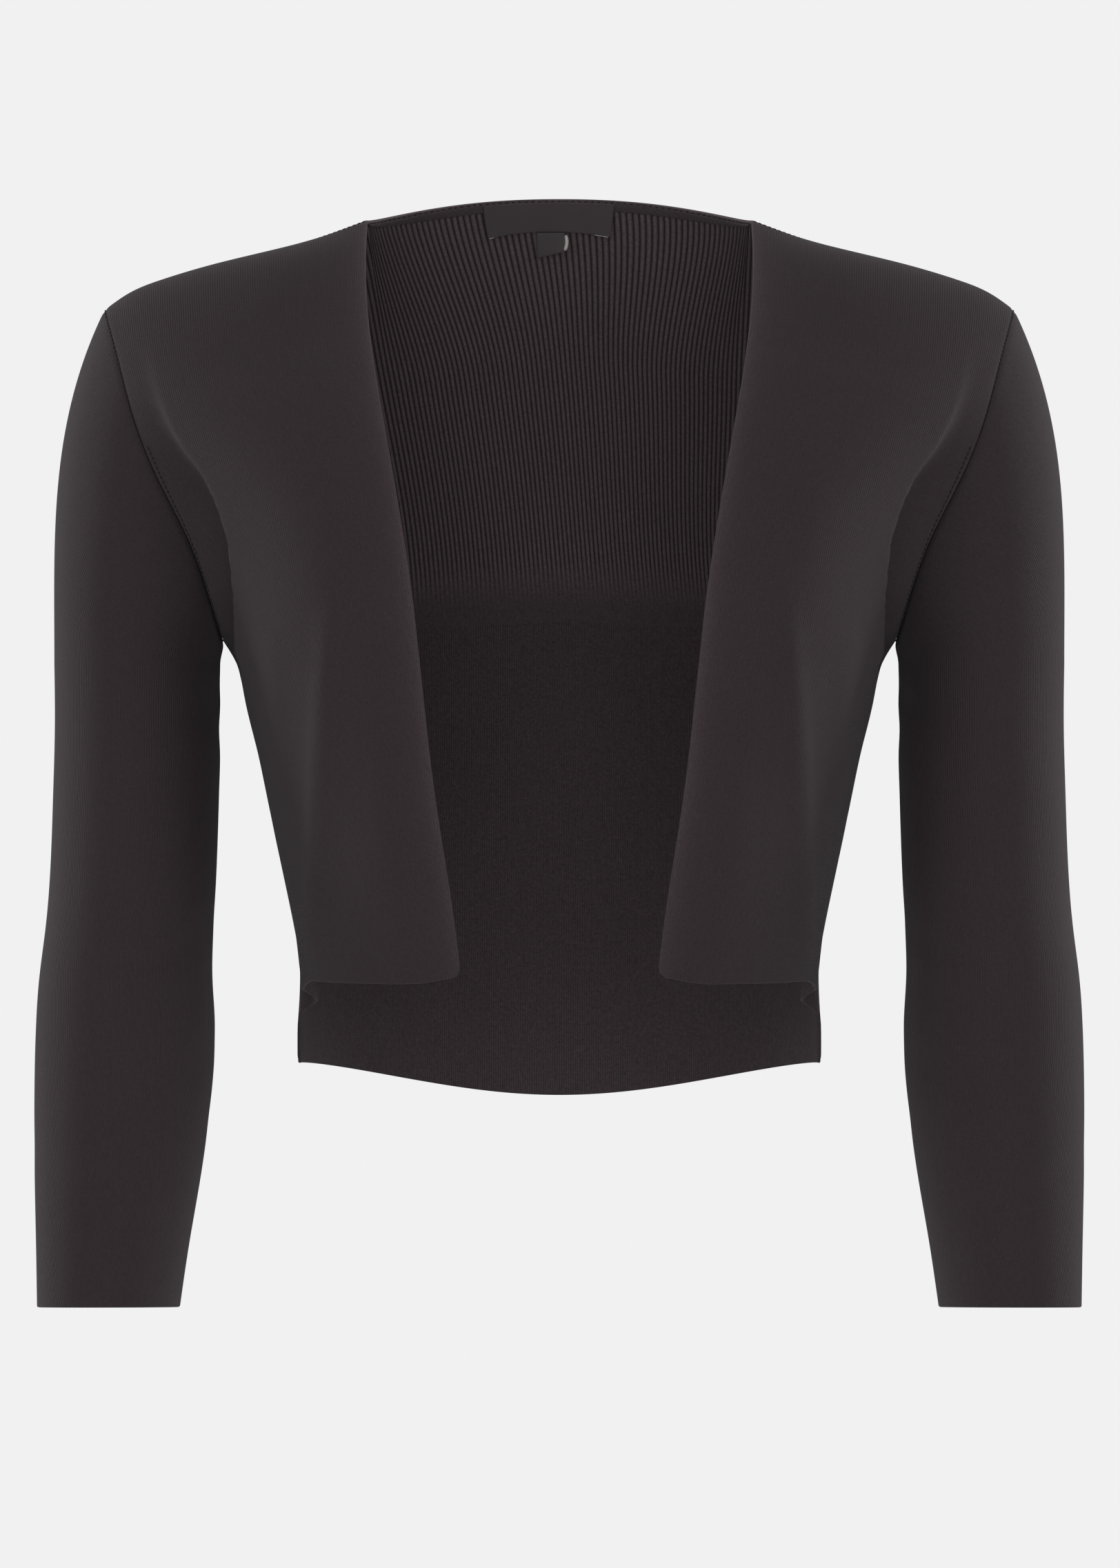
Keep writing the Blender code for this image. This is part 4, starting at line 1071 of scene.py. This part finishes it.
rib_step = NECK_SHARE / (RIB_STEPS * NECK_RIBS)
rib_count = RIB_STEPS * (NECK_RIBS + SHOULDER_RIBS)
rib_number = np.arange(-rib_count, rib_count + 1)
beside = np.linspace(1.0, rib_count * rib_step, RIB_SIDE_COLUMNS, endpoint=False)
rib_columns = np.concatenate([-beside, rib_number * rib_step, beside[::-1]])
rib_wave = (1.0 - np.cos(2.0 * math.pi * rib_number / RIB_STEPS)) / 2.0
raised = np.concatenate([0.0 * beside, rib_wave, 0.0 * beside])
rib_places = row_places[armpit_row + 1:]
rib_at = rib_columns + RIB_DRIFT * (2.0 - rib_places)[:, None] * (1.0 - rib_columns ** 2)
rib_at = np.clip(rib_at, -1.0, 1.0)
rib_base = read_columns(rib_at, whole_shares, back_inner[armpit_row + 1:])
rib_under = read_columns(rib_at, whole_shares, back_outer[armpit_row + 1:])
rib_fade = np.interp(rib_places, *zip(*RIB_FADE))
rib_height = RIB_RISE * rib_fade[:, None] * raised
rib_points = rib_base + unit(rib_base - rib_under) * rib_height[..., None]
rib_start = int(np.searchsorted(rib_places, RIB_START))
rib_rise = lengths(rib_points, 0)
rib_across = rib_columns / (rib_step * RIB_STEPS) * RIB_PITCH
rib_place = np.stack([np.broadcast_to(rib_across, rib_at.shape),
                      rib_rise - rib_rise[rib_start]], axis=2)

back_place = cloth_places(back_outer, centre)
plain_rows = slice(0, armpit_row + 1)
rib_foot_place = read_columns(rib_at[:rib_start + 1], whole_shares,
                              back_place[armpit_row + 1:armpit_row + rib_start + 2])
neck_swell = swell(back_outer[-1], centre - NECK_COLUMNS, centre + NECK_COLUMNS)
top_strip = rim(back_outer[-1], back_inner[-1], back_outer[-2], neck_swell)


def side_rim(side, beside_side):
    """Flat rim down one side of the back, from the outer face to the inner face."""
    inside = np.concatenate([back_inner[plain_rows, side], rib_points[:, side]])
    return rim_patch(rim(back_outer[:, side], inside, back_outer[:, beside_side], 0.0),
                     back_place[:, side], FACE)


back_patches = [
    grid_patch(back_outer, back_place, FACE),
    grid_patch(back_inner[plain_rows], back_place[plain_rows], REVERSE),
    grid_patch(rib_points[:rib_start + 1], rib_foot_place, REVERSE),
    grid_patch(rib_points[rib_start:], rib_place[rib_start:], RIBS),
    zip_patch(rib_points[0], rib_at[0], rib_foot_place[0], back_inner[armpit_row], whole_shares,
              back_place[armpit_row], REVERSE),
    # The turned neck edge has the painted highlight of the turned edges.
    rim_patch(top_strip[:-1], back_place[-1], EDGE_HIGHLIGHT),
    zip_patch(rib_points[-1], rib_at[-1], rib_place[-1], top_strip[-2], whole_shares,
              back_place[-1], EDGE_HIGHLIGHT),
    rim_patch(rim(back_outer[0], back_inner[0], back_outer[1], swell(back_outer[0], 0, -1)),
              back_place[0], FACE),
    side_rim(0, 1),
    side_rim(-1, -2),
]
back = make_piece("back_knit", back_patches, KNIT_MATERIALS)
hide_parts("back")

# Fronts, second part: their walls.
# Each is worked out on the wearer's left and mirrored to the right. Its front edge and hem are
# turned and round, and its other edges meet the seams.
SIDES = ("left", lambda points: points), ("right", mirrored)

front_up = lengths(front_outer, 0)
front_up = front_up[-1:] - front_up
front_lean = body_lean(front_own[:, -1], back_half_own[:, -1], hole_turn)
front_inner = inner_face(front_outer, front_own, front_lean, front_side)
front_face = sunk(front_outer, front_own, np.minimum(front_side, front_up))
front_face, front_inner = (stop_short(stop_short(grid, 1, -1), 0, -1)
                           for grid in (front_face, front_inner))
front_edges = swell(front_face[0], 0, -1), 0.0, swell(front_face[:, 0], 0, -1), 0.0
# Each front's free edge has painted highlights, on its turned rim and on the cloth beside it.
for side, turned_over in SIDES:
    front = make_wall("front_knit_" + side, turned_over(front_face), turned_over(front_inner),
                      front_edges, FRONT_MATERIALS, EDGE_HIGHLIGHT)
    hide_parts("front_" + side)

# Sleeves, second part: their walls.
# Each is a tube with an inside of plain knit, a round turned cuff and a slightly sunken seam under
# the arm. At the armhole its edge meets the edges of the front and the back.
SEAM_NARROWER = 2.0          # how much narrower the dip of the seam under the arm is

sleeve_down = lengths(sleeve_outer, 0)
sleeve_round = lengths(sleeve_outer, 1)
from_seam = np.minimum(sleeve_round, sleeve_round[:, -1:] - sleeve_round)
half_turn = sleeve_turn[sleeve_turn <= math.pi]
body_side = np.concatenate([
    read_line(own[armpit_row:, -1], half_turn, hole_turn[armpit_row:])[order]
    for own, order in ((front_own, slice(None)), (back_half_own, slice(-2, None, -1)))])
sleeve_lean = shared_lean(sleeve_own[0], unit(body_side))[None]
sleeve_inner = inner_face(sleeve_outer, sleeve_own, sleeve_lean, sleeve_down)
sleeve_face = sunk(sleeve_outer, sleeve_own, np.minimum(sleeve_down, from_seam * SEAM_NARROWER))
sleeve_face, sleeve_inner = (stop_short(grid, 0, 0) for grid in (sleeve_face, sleeve_inner))
sleeve_edges = 0.0, ROUND_EDGE * WALL / 2.0, None, None
for side, turned_over in SIDES:
    sleeve = make_wall("sleeve_knit_" + side, turned_over(sleeve_face), turned_over(sleeve_inner),
                       sleeve_edges, KNIT_MATERIALS)
    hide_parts("sleeve_" + side)

# Neck band.
# The turned edge inside the back neck: a smooth strip 4 mm deep of the same knit, laid over the
# upper ends of the ribs.
BAND_TOP = 0.3 * MM          # neck edge to the upper edge of the band
BAND_DEPTH = 4.2 * MM        # neck edge to its lower edge
BAND_WALL = 0.6 * MM
BAND_LIP = 0.45              # how thick it is at its edges, as a share of that
BAND_FULLNESS = 0.5          # below one, it keeps its thickness towards them
BAND_OFF = 0.5 * MM          # air behind the band, which lies over the ends of the ribs
BAND_END = 0.015             # share of the neck edge that it leaves free at each neck point
BAND_COLUMNS = 160
BAND_ROWS = 12
BAND_COLOR = (0.0600, 0.0462, 0.0505)
CLOTH_DEPTH = 40.0 * MM      # how far down the inside of the back is drawn for what lies on it
CLOTH_STEPS = 80

neck = slice(centre - NECK_COLUMNS, centre + NECK_COLUMNS + 1)
neck_run = run_along(back_outer[-1, neck])
neck_run = neck_run - neck_run[-1] / 2.0
cloth_depths = np.linspace(0.0, CLOTH_DEPTH, CLOTH_STEPS + 1)


def down_the_column(line):
    """Points of one inside column of the back at even depths below the neck edge."""
    return read_line(line, cloth_depths, run_along(line))


cloth_sheet = np.stack([down_the_column(line) for line in back_inner[::-1, neck].swapaxes(0, 1)],
                       axis=1)
cloth_inward = normals(cloth_sheet)
cloth_inward = cloth_inward * -np.sign(cloth_inward[..., 1:2])


def on_cloth(across, depth, off):
    """Points inside the back: across from the centre, down from the neck edge, and off the cloth.

    The sheet of points below the neck edge is read between its rows and columns, and moved inwards.
    """
    across, depth, off = np.broadcast_arrays(across, depth, off)
    column = np.interp(across, neck_run, np.arange(len(neck_run)))
    row = np.interp(depth, cloth_depths, np.arange(len(cloth_depths)))
    left = np.minimum(column.astype(int), len(neck_run) - 2)
    high = np.minimum(row.astype(int), len(cloth_depths) - 2)
    x, y = (column - left)[..., None], (row - high)[..., None]
    points, inward = ((grid[high, left] * (1 - x) + grid[high, left + 1] * x) * (1 - y)
                      + (grid[high + 1, left] * (1 - x) + grid[high + 1, left + 1] * x) * y
                      for grid in (cloth_sheet, cloth_inward))
    return points + unit(inward) * off[..., None]


band_across = np.linspace(neck_run[0], neck_run[-1], BAND_COLUMNS + 1)[None, :]
band_across = band_across * (1.0 - 2.0 * BAND_END)
band_down = np.linspace(BAND_DEPTH, BAND_TOP, BAND_ROWS + 1)[:, None]
band_round = np.sin(math.pi * (band_down - BAND_TOP) / (BAND_DEPTH - BAND_TOP)) ** BAND_FULLNESS
band_thick = BAND_WALL * (BAND_LIP + (1.0 - BAND_LIP) * band_round)
band_face = on_cloth(band_across, band_down, BAND_OFF + band_thick)
band_back = on_cloth(band_across, band_down, BAND_OFF)
band_knit = knit_material("band_knit", BAND_COLOR, WALE, COURSE, 0.22 * MM, 0.35, SHARP, 0.20)
band = make_wall("neck_band_knit", band_face, band_back, (0.0,) * 4, (band_knit, knit_reverse_painted_light))
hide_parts("neck_band")

# Label.
# A soft woven ribbon sewn over the band at the back neck and left bare. Its lower corners stand off
# the ribs, and a little of the pale thread that holds it shows at both of them.
LABEL_WALL = 0.5 * MM
LABEL_TOP = 0.4 * MM         # neck edge to the upper edge of the label
LABEL_CENTRE = -4.9 * MM     # the label sits a little to the wearer's right
LABEL_TOP_WIDTH = 60.0 * MM
LABEL_FOOT_WIDTH = 57.5 * MM
LABEL_DEPTH = 15.0 * MM
LABEL_ARCH = 1.6 * MM        # its lower edge is this much higher in the middle
LABEL_LIFT = 1.2 * MM        # its lower corners stand off the back
LABEL_GAP = 0.35 * MM        # air between it and the band
LABEL_COLUMNS = 80
LABEL_ROWS = 28
THREAD = 0.16 * MM           # radius of the pale thread
THREAD_CLEAR = 0.3 * MM      # how far it runs below the label's lower edge, and off its rear face
THREAD_STEPS = 23
THREAD_SIDES = 8
TUBE_UP = (0.0, 0.3, 1.0)    # a way along which no thread runs
TUBE_BLUNT = 8               # how suddenly a thread is drawn in at its ends
RIBBON_THREAD = 0.28 * MM    # spacing of the ribbon's own threads
RIBBON_SURFACE = {"Roughness": 0.55, "Specular IOR Level": 0.35}
RIBBON_TONE = {"Cloud": 0.12, "Fleck": 0.05}
WEAVE_DEPTH = 0.04 * MM
LABEL_COLOR = (0.064, 0.052, 0.054)
TAB_COLOR = (0.074, 0.062, 0.065)
PALE_COLOR = (0.60, 0.58, 0.56)
RIBBON_SHEEN = 0.1


def ribbon_material(name, color, sheen):
    """Fine satin ribbon: crossed threads as bump, faint cloudiness, and a soft sheen.

    Height = sine(2 pi * across / thread) * sine(2 pi * along / thread).
    """
    material, tree, shader = new_material(name)
    place = add_node(tree, "UVMap", uv_map="knit").outputs["UV"]
    apart = add_node(tree, "SeparateXYZ", {"Vector": place}).outputs
    turns = [math_node(tree, "MULTIPLY", apart[axis], 2.0 * math.pi / RIBBON_THREAD)
             for axis in "XY"]
    weave = math_node(tree, "MULTIPLY", *(math_node(tree, "SINE", turn) for turn in turns))
    where = add_node(tree, "TexCoord").outputs["Object"]
    wool = add_node(tree, "Group", {"Place": where, "Base": (*color, 1.0), **RIBBON_TONE},
                    node_tree=WOOL)
    bump = add_node(tree, "Bump", {"Distance": WEAVE_DEPTH, "Height": weave})
    feed(tree, shader, {**RIBBON_SURFACE, "Sheen Weight": sheen, "Normal": bump.outputs["Normal"],
                        "Base Color": wool.outputs["Colour"]})
    return material


ribbon = ribbon_material("label_ribbon", LABEL_COLOR, RIBBON_SHEEN)
tab_ribbon = ribbon_material("tab_ribbon", TAB_COLOR, RIBBON_SHEEN)
pale_thread = ribbon_material("pale_thread", PALE_COLOR, 0.0)

label_share = np.linspace(1.0, 0.0, LABEL_ROWS + 1)[:, None]
label_side = np.linspace(-1.0, 1.0, LABEL_COLUMNS + 1)[None, :]
label_half = (LABEL_TOP_WIDTH * (1.0 - label_share) + LABEL_FOOT_WIDTH * label_share) / 2.0
label_depth = LABEL_TOP + label_share * (LABEL_DEPTH - LABEL_ARCH * (1.0 - label_side ** 2))
label_lift = LABEL_LIFT * label_share ** 2 * label_side ** 2
label_base = BAND_OFF + BAND_WALL + LABEL_GAP + label_lift
label_across = LABEL_CENTRE + label_half * label_side
label_face = on_cloth(label_across, label_depth, label_base + LABEL_WALL)
label_back = on_cloth(label_across, label_depth, label_base)
label_edges = [swell(line, 0, -1) * LABEL_WALL / WALL
               for line in (label_face[0], label_face[-1], label_face[:, 0], label_face[:, -1])]
label = make_wall("label_ribbon", label_face, label_back, label_edges, (ribbon,) * 4)
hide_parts("neck_label")


def tube_patch(path, radius, sides):
    """A thin round thread along a path, drawn in to nothing at its ends.

    Each ring's radius is: radius * sqrt(1 - |2 * share of the way - 1|^blunt).
    """
    ahead = unit(np.gradient(path, axis=0))
    aside = unit(np.cross(ahead, TUBE_UP))
    over = np.cross(aside, ahead)
    angle = np.linspace(0.0, 2.0 * math.pi, sides + 1)[None, :, None]
    way = 2.0 * np.linspace(0.0, 1.0, len(path)) - 1.0
    width = (radius * np.sqrt(np.clip(1.0 - way ** TUBE_BLUNT, 0.0, 1.0)))[:, None, None]
    ring = path[:, None] + width * (aside[:, None] * np.cos(angle) + over[:, None] * np.sin(angle))
    return grid_patch(ring, cloth_places(ring), FACE)


def thread_on_label(name, start, end):
    """A stretch of the pale thread under the label's lower edge, between two sides of it."""
    side = np.linspace(start, end, THREAD_STEPS + 1)
    depth = LABEL_TOP + LABEL_DEPTH - LABEL_ARCH * (1.0 - side ** 2) + THREAD_CLEAR
    lift = BAND_OFF + BAND_WALL + LABEL_GAP + LABEL_LIFT * side ** 2 + THREAD_CLEAR
    path = on_cloth(LABEL_CENTRE + LABEL_FOOT_WIDTH / 2.0 * side, depth, lift)
    thread = make_piece(name, [tube_patch(path, THREAD, THREAD_SIDES)], (pale_thread,))


thread_on_label("label_thread_left", 0.74, 0.98)
thread_on_label("label_thread_right", -0.99, -0.90)

# Size tab.
# A short folded ribbon that hangs below the label, left bare. It is turned a little, so that the
# pale cut edge on one side catches the light.
TAB_CENTRE = -3.9 * MM
TAB_WIDTH = 13.2 * MM
TAB_DROP = 11.3 * MM
TAB_SLANT = 3.4 * MM         # its fold hangs lower on one side
TAB_TURN = 1.6 * MM          # and stands further off the back on the other
TAB_WALL = 0.45 * MM
TAB_EDGE = 0.8 * MM          # radius of its pale rolled edge
TAB_EDGE_TOP = 0.12          # the roll starts this share of the way down
TAB_EDGE_BOW = 0.9 * MM      # and stands out this far in its middle
TAB_EDGE_STEPS = 29
TAB_EDGE_SIDES = 10
TAB_ROOM = 1.3 * MM          # hollow between the two plies
TAB_TURNS = 12
TAB_COLUMNS = 24
TAB_STRAIGHT = 14            # rows down each ply

tab_side = np.linspace(-1.0, 1.0, TAB_COLUMNS + 1)[None, :]
tab_base = RIB_RISE + LABEL_GAP + TAB_WALL
tab_foot = LABEL_TOP + LABEL_DEPTH - LABEL_ARCH + LABEL_GAP
tab_radius = TAB_ROOM / 2.0


def tab_layer(wall):
    """One face of the folded tab: down the rear ply, round the fold, and up the front ply."""
    down = np.linspace(0.0, 1.0, TAB_STRAIGHT)
    turn = np.linspace(0.0, math.pi, TAB_TURNS + 1)[1:-1]
    low = np.concatenate([down, np.ones_like(turn), down[::-1]])[:, None]
    around = np.concatenate([0.0 * down, turn, math.pi + 0.0 * down])[:, None]
    drop = TAB_DROP - TAB_SLANT * (tab_side + 1.0) / 2.0
    depth = tab_foot + low * drop + (tab_radius + wall) * np.sin(around)
    off = tab_base + tab_radius - (tab_radius + wall) * np.cos(around)
    off = off + TAB_TURN * low * ((tab_side + 1.0) / 2.0) ** 2 * (around > 0.0)
    return on_cloth(TAB_CENTRE + TAB_WIDTH / 2.0 * tab_side, depth, off)


tab_outer, tab_inner = tab_layer(TAB_WALL), tab_layer(0.0)
tab = make_wall("size_tab_ribbon", tab_outer, tab_inner, (0.0,) * 4, (tab_ribbon,) * 2)
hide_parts("size_tab")

edge_down = np.linspace(TAB_EDGE_TOP, 1.0, TAB_EDGE_STEPS + 1)
edge_drop = tab_foot + edge_down * (TAB_DROP - TAB_SLANT)
edge_off = tab_base + tab_radius * 2.0 + TAB_WALL * 0.5 + TAB_TURN * edge_down
edge_bow = TAB_EDGE_BOW * np.sin(math.pi * edge_down)
edge_path = on_cloth(TAB_CENTRE + TAB_WIDTH / 2.0 + edge_bow, edge_drop, edge_off)
tab_edge = make_piece("size_tab_pale_edge", [tube_patch(edge_path, TAB_EDGE, TAB_EDGE_SIDES)],
                      (pale_thread,))

# Linking stitches.
# The seams are linked with wool of the same colour. Its short sunken stitches are coloured much
# darker, as painted shade of the sunken seam, and show as a dark broken line along the armholes,
# side seams and shoulder seams, and on each front a second row of them shows beside the armhole.
STITCH_PITCH = 2.3 * MM
STITCH_LENGTH = 1.8 * MM
STITCH_RADIUS = 0.30 * MM
STITCH_SINK = 0.42 * MM      # how deep the middle of a stitch lies under the seam line
STITCH_SIDES = 6
STITCH_RINGS = 7
DASH_ROWS = (8, 36)          # rows above the armpit beside which a second row of stitches shows
DASH_COLUMN = -8             # panel column that it follows
DASH_SINK = -0.12 * MM       # how deep it lies; less than nothing, as it stands a little proud
# Painted shade: the stitches are much darker than the wool, as they lie sunken in the seam.
STITCH_SHADE_COLOR = (0.013, 0.010, 0.011)

stitch_wool_shaded = knit_material("stitch_wool_shaded", STITCH_SHADE_COLOR, 0.5 * MM, 0.5 * MM, 0.05 * MM, 0.2, 2.0,
                            0.1)


def stitch_rows(name, lines):
    """Short spindles set end to end along seam lines, each given with its way out of the cloth.

    Each point is: middle + ahead * x + round the axis * radius * sqrt(1 - (2x / length)^2).
    """
    x = np.linspace(-0.5, 0.5, STITCH_RINGS)
    angle = np.linspace(0.0, 2.0 * math.pi, STITCH_SIDES + 1)
    radius = (STITCH_RADIUS * np.sqrt(np.clip(1.0 - (2.0 * x) ** 2, 0.0, 1.0)))[:, None, None]
    place = np.stack(np.meshgrid(x * STITCH_LENGTH, angle * STITCH_RADIUS, indexing="ij"), axis=2)
    x, angle = (x * STITCH_LENGTH)[:, None, None], angle[:, None]
    patches = []
    for line, out in lines:
        run = run_along(line)
        at = np.arange(STITCH_PITCH / 2.0, run[-1], STITCH_PITCH)
        middle = read_line(line - unit(out) * STITCH_SINK, at, run)
        late, early = (read_line(line, at + step * STITCH_PITCH, run) for step in (0.25, -0.25))
        ahead = unit(late - early)
        up = unit(read_line(out, at, run))
        aside = unit(np.cross(ahead, up))
        for spot, forward, left, upward in zip(middle, ahead, aside, up):
            ring = left * np.cos(angle) + upward * np.sin(angle)
            patches.append(grid_patch(spot + forward * x + ring * radius, place, FACE))
    piece = make_piece(name, patches, (stitch_wool_shaded,))


side_rows = slice(0, armpit_row + 1)
side_seam_line = front_outer[side_rows, -1]
side_out = unit(front_own[side_rows, -1] + back_half_own[side_rows, -1])
shoulder_out = unit(front_own[-1] + back_half_own[-1, NECK_COLUMNS:])
dash_rows = slice(armpit_row + DASH_ROWS[0], armpit_row + DASH_ROWS[1])
dash_out = front_own[dash_rows, DASH_COLUMN]
dash_line = front_outer[dash_rows, DASH_COLUMN] + dash_out * (STITCH_SINK - DASH_SINK)
STITCHED = (
    ("armhole_stitches_", ((sleeve_outer[0], unit(sleeve_own[0] + unit(body_side))),
                           (dash_line, dash_out))),
    ("body_stitches_", ((side_seam_line, side_out), (front_outer[-1], shoulder_out))),
)
for side, turned_over in SIDES:
    for name, lines in STITCHED:
        stitch_rows(name + side, [[turned_over(points) for points in line] for line in lines])
